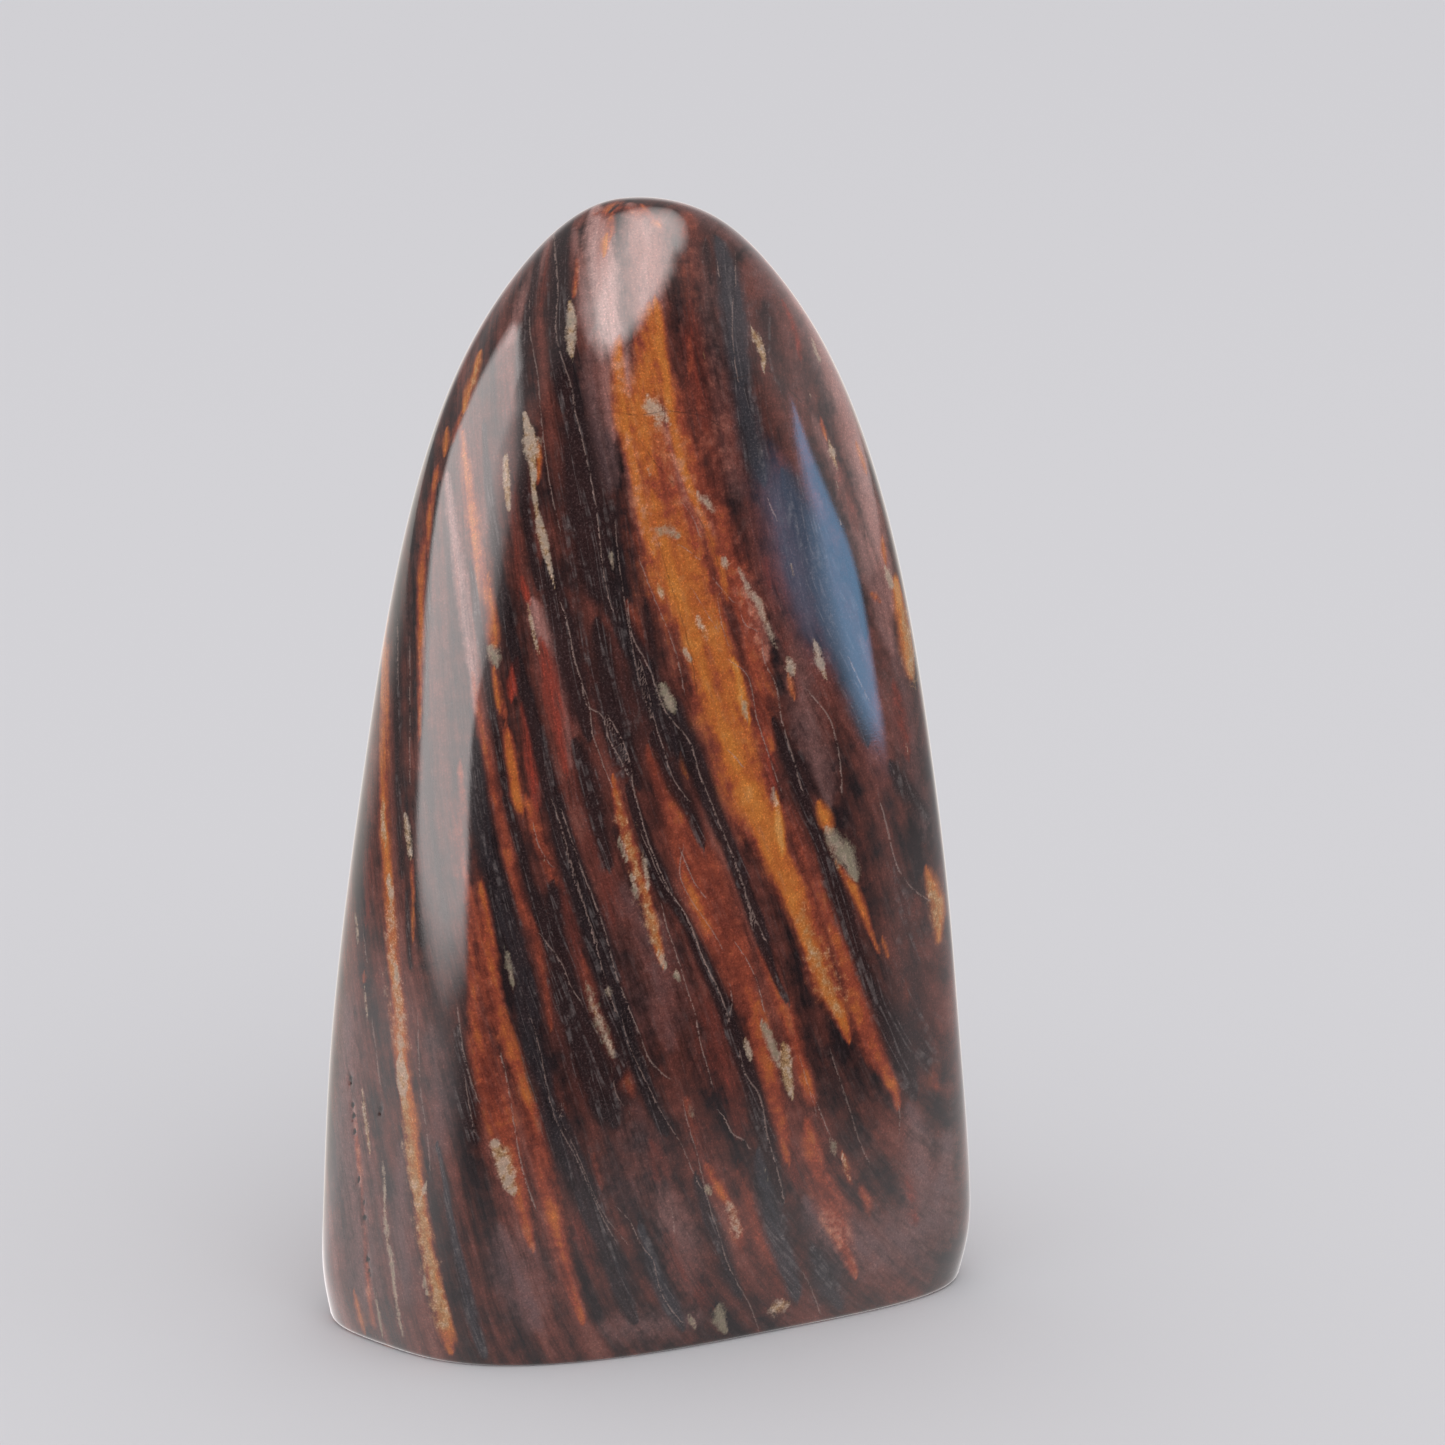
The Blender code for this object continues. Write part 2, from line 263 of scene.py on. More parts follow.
# Dark hematite bands: shade 0 is brown-black and 1 blue-black
DARK = (
    (1.1, 0.3, (558, 225, 5), (559, 260, 11), (559, 300, 12), (560, 340, 12), (561, 380, 10), (565, 412, 7)),
    (0.9, 0.3, (540, 245, 3), (532, 290, 5), (526, 330, 6), (522, 370, 6), (520, 405, 5), (521, 440, 6),
     (523, 480, 7), (527, 520, 6), (533, 560, 5), (540, 592, 3)),
    (1.1, 0.3, (573, 390, 8), (576, 430, 14), (581, 480, 20), (588, 530, 27), (594, 570, 27), (600, 600, 18)),
    (0.9, 0.3, (545, 560, 8), (560, 610, 14), (572, 660, 16), (580, 700, 12), (590, 740, 6)),
    (0.9, 0.3, (575, 740, 8), (590, 790, 14), (600, 830, 10), (610, 870, 6)),
    (1.0, 0.3, (598, 620, 12), (610, 690, 20), (624, 745, 18), (640, 790, 8)),
    (1.1, 0.4, (504, 792, 4), (515, 830, 6), (523, 857, 6), (529, 882, 6), (540, 910, 8), (551, 940, 8),
     (560, 980, 8)),
    (1.0, 0.4, (553, 880, 7), (556, 940, 13), (568, 1000, 20), (592, 1070, 26), (614, 1125, 20)),
    (1.3, 0.5, (594, 555, 10), (603, 580, 14), (612, 600, 15), (621, 620, 13), (630, 640, 12), (640, 660, 13),
     (647, 680, 15), (656, 700, 17), (668, 720, 20), (679, 740, 18), (690, 760, 15), (699, 780, 12),
     (708, 800, 10), (718, 820, 9), (727, 840, 8), (735, 860, 8), (742, 880, 8), (749, 900, 8),
     (756, 920, 9), (763, 940, 8), (770, 962, 6), (779, 985, 4), (790, 1005, 3)),
    (0.8, 0.3, (652, 732, 7), (664, 760, 9), (680, 790, 10), (693, 815, 7), (704, 850, 3)),
    (1.3, 0.5, (498, 555, 4), (502, 590, 7), (508, 620, 8), (518, 660, 7), (529, 700, 8), (539, 740, 9),
     (549, 780, 10), (556, 805, 11), (564, 840, 12), (573, 870, 13), (584, 900, 14), (594, 930, 14),
     (603, 960, 13), (611, 990, 12), (620, 1015, 11), (631, 1045, 9), (643, 1080, 8), (655, 1110, 7),
     (668, 1135, 6)),
    (0.9, 0.6, (484, 420, 2), (486, 460, 3), (492, 510, 5), (497, 560, 5)),
    (1.3, 0.3, (627, 782, 3), (634, 805, 6), (642, 830, 7), (650, 855, 10), (659, 878, 12), (669, 897, 9),
     (681, 915, 7), (691, 935, 7), (701, 957, 8), (712, 980, 8), (722, 1000, 8), (730, 1020, 8),
     (738, 1045, 9), (748, 1075, 10), (757, 1105, 9), (766, 1140, 9), (774, 1170, 7), (783, 1202, 5)),
    (0.9, 0.9, (758, 1150, 6), (766, 1190, 11), (776, 1230, 12), (787, 1265, 10), (797, 1302, 6)),
    (1.2, 0.4, (532, 905, 3), (546, 935, 7), (558, 965, 10), (570, 990, 9), (581, 1012, 6), (590, 1040, 4)),
    (1.3, 0.6, (518, 985, 5), (527, 1025, 10), (538, 1065, 12), (546, 1100, 10), (560, 1135, 15),
     (574, 1170, 15), (588, 1205, 13), (602, 1237, 11), (613, 1265, 10), (624, 1295, 10), (636, 1325, 6)),
    (0.9, 0.9, (640, 1222, 4), (650, 1253, 6), (660, 1283, 8), (672, 1308, 9), (684, 1332, 6)),
    (0.9, 0.6, (695, 1172, 4), (706, 1207, 7), (716, 1238, 8), (728, 1268, 8), (742, 1300, 5)),
    (1.1, 0.3, (772, 716, 3), (783, 743, 7), (795, 773, 8), (805, 803, 7), (815, 833, 5), (826, 862, 7),
     (836, 890, 9), (846, 918, 9), (856, 948, 8), (867, 978, 9), (880, 1005, 11), (893, 1033, 12),
     (905, 1063, 10), (916, 1098, 6)),
    (0.7, 0.3, (798, 752, 4), (808, 775, 6), (816, 795, 3)),
    (0.9, 0.4, (890, 762, 4), (903, 784, 9), (918, 803, 8), (930, 820, 4)),
    (0.8, 1.0, (716, 236, 5), (726, 268, 12), (733, 310, 13), (738, 350, 12), (742, 385, 12), (748, 418, 12),
     (753, 448, 12), (765, 485, 8)),
    (0.3, 0.3, (764, 305, 5), (772, 350, 8), (782, 392, 6)),
    (0.8, 0.8, (782, 470, 8), (800, 515, 17), (818, 560, 22), (832, 610, 22), (846, 660, 18), (860, 710, 12),
     (868, 745, 6)),
    (0.6, 0.2, (706, 240, 5), (708, 262, 8), (711, 285, 5)),
    (1.0, 0.4, (470, 560, 2), (477, 610, 4), (485, 660, 5), (492, 710, 5), (499, 755, 5), (506, 795, 5)),
    (1.4, 0.6, (473, 735, 5), (478, 775, 9), (482, 815, 11), (488, 850, 9), (497, 880, 10), (503, 905, 11),
     (511, 932, 12), (521, 965, 11), (530, 1000, 10), (536, 1030, 8)),
    (0.8, 0.3, (407, 885, 2), (408, 930, 3), (411, 972, 2)),
    (1.1, 0.9, (436, 1140, 2), (445, 1180, 3), (450, 1215, 4), (457, 1250, 5), (464, 1280, 6), (471, 1310, 7),
     (479, 1338, 6), (486, 1360, 4)),
    (0.8, 0.2, (458, 1025, 4), (462, 1070, 8), (468, 1110, 9), (476, 1145, 6)),
    (0.8, 0.8, (812, 1245, 6), (824, 1275, 13), (840, 1305, 17)),
    (0.7, 0.2, (645, 600, 3), (650, 630, 5), (656, 655, 3)),
    (0.8, 0.5, (440, 480, 2), (431, 560, 2), (428, 640, 2), (427, 720, 2)),
    (0.8, 0.3, (396, 600, 3), (397, 700, 4), (398, 800, 4), (402, 880, 3)),
    (0.7, 0.6, (618, 205, 4), (610, 212, 3)),
    (0.25, 0.3, (893, 855, 5), (903, 910, 8), (914, 970, 9), (922, 1030, 8), (928, 1070, 5)),
    (0.8, 0.3, (600, 1000, 5), (622, 1060, 9), (610, 1090, 6)),
    (0.7, 0.4, (565, 1000, 6), (575, 1040, 10), (585, 1080, 8)),
    (0.8, 0.4, (846, 560, 3), (856, 590, 4), (866, 640, 3)),
)

# Pale lenses and spots: shade 0 is tan, 0.5 cream and 1 grey-green
PALE = (
    # near the top
    (1.4, 0.6, (569, 297, 2), (571, 312, 5), (571, 330, 7), (571, 348, 5), (573, 362, 2)),
    (1.0, 0.62, (648, 396, 8), (654, 406, 14), (662, 416, 13), (670, 424, 6)),
    (0.8, 0.6, (627, 349, 2), (628, 359, 3)),
    (0.7, 0.3, (703, 350, 3), (705, 360, 3)),
    (1.2, 0.4, (751, 327, 2), (757, 340, 5), (762, 353, 4), (764, 373, 2)),
    (0.6, 0.6, (812, 338, 2), (817, 352, 3), (820, 364, 1)),
    (0.6, 0.6, (808, 388, 2), (811, 398, 3)),
    # upper left
    (1.2, 0.4, (505, 450, 2), (507, 470, 4), (507, 490, 4), (509, 513, 2)),
    (1.6, 0.55, (523, 408, 2), (527, 425, 5), (531, 445, 10), (533, 465, 5), (534, 490, 3), (537, 512, 3),
     (542, 535, 6), (547, 556, 4), (552, 576, 2), (557, 594, 1)),
    (0.6, 0.1, (479, 355, 2), (473, 382, 4), (466, 404, 3)),
    (1.3, 0.9, (527, 438, 2), (530, 450, 5), (531, 462, 3)),
    (1.3, 0.85, (541, 527, 2), (542, 537, 4), (544, 546, 2)),
    (1.2, 0.8, (488, 642, 3), (494, 655, 8), (497, 669, 4)),
    (0.8, 0.7, (611, 549, 2), (612, 562, 4), (613, 573, 2)),
    # in the broad streak
    (1.1, 0.6, (646, 465, 3), (650, 475, 4)),
    (1.0, 0.95, (656, 530, 7), (668, 531, 10), (678, 537, 7)),
    (1.0, 0.7, (697, 491, 4), (706, 502, 8), (714, 515, 6)),
    (1.0, 0.65, (724, 556, 5), (729, 564, 8)),
    (0.9, 0.6, (721, 555, 2), (725, 565, 5), (728, 573, 2)),
    (0.8, 0.3, (658, 583, 3), (663, 597, 5)),
    (0.8, 0.45, (696, 612, 3), (702, 628, 6), (706, 642, 3)),
    (1.1, 0.6, (683, 645, 3), (688, 656, 5), (693, 664, 3)),
    (0.9, 0.9, (742, 696, 2), (745, 708, 5), (747, 722, 2)),
    (0.8, 0.6, (772, 785, 3), (776, 800, 5), (779, 815, 3)),
    (0.8, 0.7, (738, 566, 2), (747, 586, 4), (757, 602, 5), (768, 628, 4), (779, 654, 2)),
    (0.7, 0.3, (791, 565, 3), (794, 575, 4)),
    (1.1, 0.62, (786, 658, 6), (791, 667, 10), (795, 676, 6)),
    (0.45, 0.1, (800, 905, 8), (820, 965, 12), (842, 1020, 8)),
    (0.7, 0.1, (928, 880, 3), (936, 905, 6), (938, 930, 4)),
    (1.2, 0.6, (813, 638, 3), (819, 655, 6), (824, 673, 4), (828, 684, 1)),
    # near the right outline
    (1.1, 0.5, (828, 438, 2), (833, 455, 5), (838, 471, 2)),
    (0.8, 0.6, (836, 480, 2), (839, 490, 3)),
    (0.8, 0.5, (858, 550, 2), (861, 559, 3)),
    (0.8, 0.5, (839, 516, 2), (841, 524, 3)),
    (1.1, 0.7, (884, 564, 2), (889, 577, 5), (893, 589, 2)),
    (0.7, 0.1, (904, 610, 4), (910, 645, 7), (915, 684, 5)),
    (0.9, 0.7, (906, 745, 2), (908, 754, 3)),
    (1.0, 0.9, (825, 824, 4), (834, 840, 9), (844, 856, 11), (852, 870, 8), (858, 883, 3)),
    # on and near the ochre lens
    (0.5, 0.1, (616, 792, 3), (623, 825, 8), (634, 862, 9), (644, 900, 7), (654, 935, 5), (661, 962, 2)),
    (0.6, 0.9, (586, 980, 3), (596, 1012, 6), (607, 1042, 5), (613, 1060, 2)),
    (1.2, 0.85, (619, 838, 2), (623, 852, 5), (627, 862, 2)),
    (1.3, 0.9, (630, 874, 2), (634, 887, 5), (638, 898, 3)),
    (0.9, 0.6, (643, 852, 3), (646, 870, 5), (648, 890, 3)),
    (1.0, 0.85, (657, 950, 3), (663, 962, 5), (667, 970, 2)),
    (1.3, 0.8, (675, 967, 2), (677, 975, 4), (680, 983, 2)),
    (1.1, 0.9, (658, 681, 4), (667, 697, 9), (674, 714, 5)),
    (1.0, 0.8, (607, 982, 2), (609, 991, 5), (611, 999, 2)),
    (0.9, 0.5, (590, 1000, 2), (598, 1018, 5), (604, 1032, 3)),
    (1.0, 0.7, (605, 1036, 2), (611, 1048, 4), (615, 1060, 2)),
    (1.1, 0.5, (527, 600, 2), (531, 620, 3), (535, 640, 3), (540, 657, 2)),
    (1.2, 0.9, (543, 858, 2), (550, 864, 3)),
    (1.0, 0.9, (505, 945, 2), (509, 965, 5), (514, 990, 2)),
    # low on the front
    (0.9, 0.5, (743, 1034, 3), (748, 1050, 4), (752, 1064, 2)),
    (1.1, 0.95, (761, 1020, 3), (769, 1038, 6), (775, 1056, 6), (781, 1068, 3)),
    (1.3, 0.35, (783, 1040, 4), (785, 1060, 8), (788, 1082, 6), (793, 1100, 2)),
    (0.9, 0.8, (704, 1180, 2), (708, 1188, 5), (711, 1197, 2)),
    (0.5, 0.5, (726, 1198, 3), (733, 1216, 5), (739, 1238, 4)),
    (1.4, 0.95, (720, 1196, 1), (720, 1202, 2), (719, 1208, 1)),
    (0.6, 0.9, (688, 1104, 2), (692, 1114, 4), (695, 1123, 2)),
    (1.2, 0.95, (718, 1303, 6), (721, 1318, 10), (726, 1332, 9)),
    (1.1, 0.5, (767, 1312, 6), (778, 1307, 10), (791, 1302, 7)),
    (0.9, 0.8, (688, 1313, 2), (693, 1322, 5), (697, 1330, 2)),
    (0.8, 0.4, (842, 1155, 2), (846, 1168, 4), (850, 1181, 2)),
    (0.7, 0.9, (829, 1137, 2), (833, 1147, 5), (836, 1158, 2)),
    (0.7, 0.9, (765, 1169, 3), (768, 1182, 5)),
    (1.5, 0.5, (491, 1139, 4), (500, 1151, 10), (505, 1168, 11), (509, 1184, 8), (515, 1197, 3)),
    # the left flank
    (1.0, 0.3, (383, 798, 2), (383, 825, 3), (385, 847, 2)),
    (1.0, 0.5, (388, 873, 2), (390, 890, 4), (391, 907, 2)),
    (0.45, 0.45, (389, 905, 4), (393, 950, 6), (399, 1020, 6), (402, 1055, 5)),
    (1.1, 0.8, (395, 964, 2), (397, 974, 4), (399, 984, 2)),
    (1.8, 0.55, (399, 1055, 3), (402, 1076, 7), (402, 1098, 4)),
    (1.2, 0.7, (427, 1180, 2), (424, 1190, 4), (421, 1199, 2)),
    (0.9, 0.15, (404, 1098, 5), (410, 1150, 7), (417, 1200, 8), (427, 1255, 9), (436, 1295, 9),
     (445, 1332, 8)),
    (0.9, 0.6, (355, 911, 1), (357, 930, 2), (358, 948, 1)),
    (0.9, 0.6, (364, 984, 1), (366, 1003, 2), (368, 1023, 1)),
    (1.2, 0.5, (405, 811, 2), (408, 835, 4), (411, 863, 2)),
    (1.1, 0.4, (362, 1085, 1), (364, 1108, 3), (367, 1130, 3), (370, 1157, 1)),
    (0.8, 0.7, (378, 1140, 1), (384, 1175, 2), (385, 1215, 2), (389, 1245, 3), (393, 1270, 2), (396, 1300, 2),
     (400, 1322, 2), (405, 1344, 1)),
    (0.9, 0.9, (374, 1284, 1), (378, 1310, 2), (383, 1339, 1)),
    (1.0, 0.9, (424, 1274, 2), (426, 1287, 3), (428, 1296, 1)),
)

# Soft washes, some of them painted reflection as marked: shade 0 is pink, 0.5 mauve and 1 slate
WASH_AND_SHEEN = (
    (1.0, 0.2, (598, 330, 9), (604, 365, 12), (608, 400, 12), (614, 440, 8)),
    (0.6, 0.4, (588, 350, 10), (594, 400, 13), (602, 450, 13), (610, 495, 8)),
    (0.9, 0.30, (812, 415, 6), (838, 475, 10), (858, 530, 11), (874, 590, 10), (888, 645, 7)),
    (1.0, 0.3, (574, 228, 5), (579, 262, 8), (584, 300, 9), (590, 340, 9)),
    (0.8, 0.2, (558, 230, 6), (538, 268, 9), (521, 308, 9), (508, 345, 6)),
    # Painted reflection as well as pink stone: the soft window light at the top of the stone
    (1.4, 0.0, (596, 207, 16), (598, 240, 22), (604, 280, 22), (612, 330, 19), (620, 365, 15), (630, 395, 8)),
    (1.2, 0.15, (630, 205, 18), (645, 240, 30), (646, 290, 24), (640, 330, 12)),
    # Painted haze: the polish's mirrored room along the upper right, laid as a mauve wash
    (0.5, 0.5, (690, 210, 8), (730, 232, 12), (768, 268, 12), (800, 320, 11), (822, 375, 10)),
    # Painted rim reflection: the pink light along the right outline
    (1.4, 0.16, (762, 236, 6), (790, 278, 11), (816, 330, 15), (838, 385, 17), (856, 445, 17), (870, 505, 15),
     (884, 560, 11), (893, 610, 6)),
    # Painted haze: the polish's mirrored room along the upper right, laid as a mauve wash
    (0.2, 0.6, (752, 262, 8), (770, 300, 10), (790, 345, 10), (804, 385, 12), (818, 430, 9)),
    (0.7, 0.5, (607, 428, 6), (612, 455, 9), (617, 487, 5)),
    (1.2, 0.1, (531, 598, 8), (540, 622, 13), (547, 650, 8)),
    (0.8, 0.0, (447, 470, 3), (452, 520, 6), (459, 570, 8), (467, 630, 7), (474, 690, 4), (478, 720, 2)),
    (1.0, 0.1, (627, 435, 7), (635, 480, 10), (646, 525, 11), (658, 562, 7)),
    # Painted haze: the polish's mirrored room along the upper right, laid as a mauve wash
    (0.35, 0.4, (702, 250, 9), (712, 330, 14), (720, 420, 14), (738, 500, 12)),
    (0.7, 0.2, (545, 612, 9), (556, 660, 15), (566, 720, 13), (572, 770, 7)),
    (0.8, 0.15, (664, 418, 14), (674, 455, 16), (688, 495, 14), (712, 535, 12)),
    (0.9, 0.15, (738, 570, 8), (753, 615, 15), (766, 660, 9)),
    (0.4, 0.5, (622, 885, 14), (642, 930, 28), (655, 985, 27), (670, 1045, 18)),
    # Painted reflection: the dim blue light beside the blue window, laid on the dark stone as slate
    (1.0, 0.9, (752, 450, 8), (770, 485, 18), (790, 535, 26), (800, 585, 20), (812, 640, 12)),
    (0.2, 0.5, (618, 1105, 12), (636, 1150, 22), (648, 1195, 18)),
    (0.6, 0.25, (658, 1180, 10), (670, 1215, 20), (682, 1250, 20), (692, 1292, 12)),
    (0.8, 0.5, (500, 1225, 14), (518, 1270, 28), (534, 1325, 34)),
    (0.6, 0.4, (600, 1330, 14), (650, 1325, 18), (700, 1320, 14)),
    # Painted reflection of the pale floor in the lower right, laid as mauve washes
    (0.9, 0.5, (805, 1200, 16), (835, 1235, 26), (880, 1245, 38), (925, 1225, 32), (942, 1180, 18),
     (950, 1130, 8)),
    (0.5, 0.5, (893, 640, 10), (905, 700, 16), (915, 765, 14), (926, 830, 10)),
    # Painted rim reflection, continuing the pink light down the right outline
    (1.1, 0.25, (866, 535, 5), (878, 575, 8), (887, 620, 9), (893, 655, 6)),
    # Painted reflection of the floor in the lower right corner, in these two strokes
    (0.5, 0.4, (872, 1268, 14), (908, 1250, 22), (936, 1195, 18)),
    (0.8, 0.42, (908, 1105, 10), (922, 1165, 20), (910, 1225, 26), (872, 1268, 16)),
    (0.7, 0.35, (772, 590, 8), (790, 650, 14), (806, 710, 18), (818, 760, 18), (830, 805, 10)),
    (0.7, 0.4, (345, 1000, 12), (350, 1100, 22), (356, 1200, 26), (366, 1300, 24)),
    (0.5, 0.5, (430, 1030, 14), (440, 1100, 16), (436, 1160, 12)),
    (0.6, 0.5, (404, 1140, 6), (400, 1220, 16), (405, 1300, 22)),
)

# Pale hair lines: half-width, strength and then pixels. Lines that run close together take turns in the list.
VEINS = (
    (1.2, 0.8, (553, 225), (556, 260), (558, 290), (556, 320), (558, 345), (568, 375), (575, 405)),
    (1.0, 0.7, (530, 300), (530, 330), (537, 370), (540, 400)),
    (1.0, 0.9, (572, 400), (580, 430), (588, 465), (595, 500), (600, 540), (605, 580), (612, 610)),
    (1.0, 0.8, (540, 405), (545, 450), (552, 495), (560, 530)),
    (1.0, 0.7, (615, 520), (620, 570), (626, 610), (633, 650), (642, 690), (652, 720)),
    (1.2, 0.9, (628, 600), (634, 640), (648, 665), (657, 690), (670, 718), (690, 742), (697, 765),
     (708, 795), (718, 820), (730, 850), (741, 880), (750, 905), (765, 940)),
    (1.0, 0.8, (640, 660), (648, 690), (655, 722), (664, 750), (672, 775), (688, 800)),
    (1.2, 0.9, (712, 805), (722, 830), (734, 858), (745, 890), (752, 925)),
    (1.2, 1.0, (561, 602), (569, 630), (575, 660), (583, 690), (589, 708), (598, 712), (608, 735),
     (618, 755), (628, 775)),
    (1.0, 0.9, (582, 683), (590, 710), (593, 735), (600, 755), (605, 770), (612, 785)),
    (1.2, 0.9, (608, 715), (622, 740), (629, 758), (633, 785), (638, 805), (648, 840), (660, 870),
     (672, 895), (684, 912), (695, 935), (703, 958), (714, 980), (724, 1004), (729, 1020)),
    (1.0, 0.8, (642, 835), (652, 858), (664, 885), (678, 903), (690, 925), (700, 950), (711, 975)),
    (1.2, 0.9, (552, 800), (562, 830), (572, 865), (580, 890), (590, 925), (600, 960), (608, 990),
     (617, 1012)),
    (1.2, 0.9, (562, 810), (573, 845), (584, 875), (596, 905), (606, 935), (615, 970), (624, 995),
     (632, 1015), (640, 1035), (650, 1060), (668, 1078)),
    (1.0, 0.7, (566, 850), (576, 885), (588, 915), (598, 945)),
    (1.2, 0.9, (541, 935), (554, 952), (564, 968), (570, 985), (580, 1000)),
    (1.0, 0.9, (662, 905), (668, 930), (675, 950), (682, 972), (690, 998), (695, 1013), (700, 1040),
     (706, 1062), (712, 1085)),
    (1.0, 0.9, (533, 822), (540, 848), (551, 866)),
    (1.0, 1.0, (680, 848), (688, 868), (696, 885), (705, 897)),
    (1.0, 0.8, (684, 846), (680, 870), (712, 930), (722, 948)),
    (1.0, 1.0, (735, 942), (748, 962), (758, 985), (764, 1010)),
    (1.0, 0.8, (730, 985), (732, 1005), (728, 1022)),
    (1.0, 0.9, (680, 545), (689, 551), (698, 559)),
    (1.0, 0.8, (684, 505), (693, 518), (700, 536)),
    (1.0, 0.8, (713, 578), (721, 588), (733, 602)),
    (1.2, 1.0, (729, 751), (737, 759), (742, 766)),
    (1.0, 0.8, (718, 600), (721, 620), (728, 645)),
    (1.0, 0.8, (640, 560), (655, 600), (668, 630), (678, 660), (684, 690)),
    (1.0, 0.9, (740, 610), (746, 625), (756, 630)),
    (1.2, 0.9, (762, 640), (766, 665), (776, 685), (780, 710), (786, 735), (796, 768), (802, 790)),
    (1.0, 0.9, (730, 661), (745, 672), (752, 690), (756, 715), (764, 740), (772, 765), (781, 790)),
    (1.2, 0.9, (808, 690), (820, 705), (828, 715), (835, 735), (840, 760), (842, 792)),
    (1.2, 0.9, (879, 798), (888, 830), (895, 860), (905, 880), (919, 894), (929, 900)),
    (1.2, 1.0, (849, 657), (857, 676), (868, 699)),
    (1.2, 1.0, (768, 498), (771, 507), (776, 517)),
    (1.0, 0.7, (735, 253), (736, 286)),
    (1.0, 0.7, (733, 298), (733, 342), (738, 380)),
    (1.0, 0.8, (717, 262), (720, 282)),
    (1.0, 0.7, (418, 1015), (419, 1060), (422, 1100), (428, 1140), (430, 1168)),
    (1.2, 0.8, (458, 1008), (463, 1048), (471, 1080), (479, 1102)),
    (1.0, 0.8, (465, 1078), (470, 1108), (474, 1132)),
    (1.2, 0.9, (499, 1048), (507, 1080), (512, 1110), (516, 1135), (520, 1157), (528, 1187), (536, 1208)),
    (1.0, 0.7, (531, 1018), (540, 1050), (546, 1082)),
    (1.0, 0.7, (372, 1018), (376, 1050), (380, 1082)),
    (1.2, 0.9, (555, 1110), (562, 1113), (564, 1106), (559, 1117)),
    (1.0, 0.7, (548, 1090), (556, 1120), (572, 1150), (588, 1185), (600, 1212), (615, 1240)),
    (1.0, 0.6, (566, 1130), (582, 1165), (594, 1195), (608, 1220), (626, 1242)),
    (1.0, 0.8, (622, 1018), (630, 1048), (642, 1073), (656, 1102), (667, 1122), (680, 1142), (691, 1167),
     (701, 1188)),
    (1.0, 0.7, (612, 1070), (617, 1095), (628, 1112)),
    (1.2, 1.0, (720, 1112), (728, 1124), (733, 1134), (741, 1138), (749, 1148)),
    (1.0, 0.7, (683, 1103), (690, 1130), (700, 1165), (708, 1200), (718, 1232), (725, 1255), (739, 1286),
     (750, 1305), (758, 1328)),
    (1.0, 0.8, (618, 1208), (632, 1225), (642, 1246), (652, 1258), (657, 1278), (665, 1300), (682, 1322)),
    (1.0, 0.8, (672, 1210), (675, 1232)),
    (1.2, 0.8, (740, 1050), (746, 1075), (758, 1092), (765, 1120), (770, 1145), (778, 1172), (784, 1200)),
    (1.0, 0.7, (800, 1058), (808, 1085), (816, 1112)),
    (1.0, 0.9, (813, 1095), (823, 1118), (832, 1140)),
    (1.2, 0.6, (830, 1048), (840, 1080), (850, 1110), (858, 1137), (869, 1162)),
    (1.2, 0.7, (803, 1272), (811, 1288), (820, 1312)),
    (1.0, 0.8, (898, 1102), (900, 1118), (899, 1132)),
    (1.0, 0.7, (398, 620), (398, 682)),
    (1.0, 0.7, (410, 640), (410, 782)),
    (1.0, 0.7, (363, 928), (367, 962)),
    (1.0, 0.8, (693, 590), (706, 612), (716, 628)),
)

# Thin dark cracks, written as the hair lines are
CRACKS = (
    (1.0, 0.8, (590, 415), (615, 412), (640, 415), (664, 411), (680, 412), (705, 417), (723, 428)),
    (1.0, 0.9, (724, 379), (745, 376), (760, 371), (769, 371), (785, 385), (801, 401)),
    (1.2, 0.8, (831, 612), (838, 635), (847, 657)),
    (1.0, 0.7, (658, 540), (668, 575), (679, 610), (690, 650), (697, 690)),
    (1.0, 0.7, (640, 440), (655, 462), (672, 482)),
    (1.0, 0.6, (720, 620), (727, 642)),
    (1.0, 0.7, (590, 1020), (602, 1050), (611, 1066)),
    (1.0, 0.6, (690, 505), (700, 520), (712, 545), (722, 575)),
)

# Tiny pits in a row on the left flank: pixel x, pixel y and half-length in pixels
PITS = (
    (350, 1080, 5),
    (352, 1105, 3),
    (353, 1116, 3),
    (354, 1131, 3),
    (358, 1179, 4),
    (363, 1204, 3),
    (364, 1218, 4),
    (367, 1259, 5),
    (369, 1273, 4),
    (380, 1109, 2),
)

# A pit's half-width and depth in millimetres, and where it fades out, in half-widths
PIT_HALF_WIDTH = 0.22
PIT_DEPTH = 0.35
PIT_SPREAD = 1.3

# Strokes are laid in steps of this many pixels, and hair lines in shorter ones. The ends of a stroke have a
# share of its half-width, which grows to the whole over some half-widths.
STROKE_STEP = 7.0
LINE_STEP = 5.0
BLUNT_END = 0.35
END_TAPER = 2.0

# Least half-widths of strokes and of hair lines in millimetres, and millimetres for each pixel at the outline
THINNEST = 0.05
THINNEST_LINE = 0.06
OUTLINE_PIXEL = 0.15

# The reach of a hair line in millimetres, and the distances over which it fades there. Beside no line, the
# side is this many half-widths.
LINE_REACH = 1.0
LINE_FADE = (0.30, 0.45)
FAR_SIDE = 9.0

# Keeps a run of no length from dividing by 0
TINY = 1e-9

# The bedding's normal. It bows in a long and a short wave, with heights and lengths in millimetres.
BEDDING_NORMAL = (0.468, -0.836, 0.282)
LONG_WAVE, LONG_LENGTH, LONG_START = 1.2, 21.0, 0.6
SHORT_WAVE, SHORT_LENGTH, SHORT_DEEP_LENGTH = 0.5, 8.5, 13.0

# The hidden side begins and is full at these cosines between the surface and the view from the camera. Its
# sheets and lenses need a least share of it, and lose depth where it isn't full.
HIDDEN_FROM, HIDDEN_FULL = 0.18, -0.12
HIDDEN_LEAST = 0.01
HIDDEN_FADE = 2.0

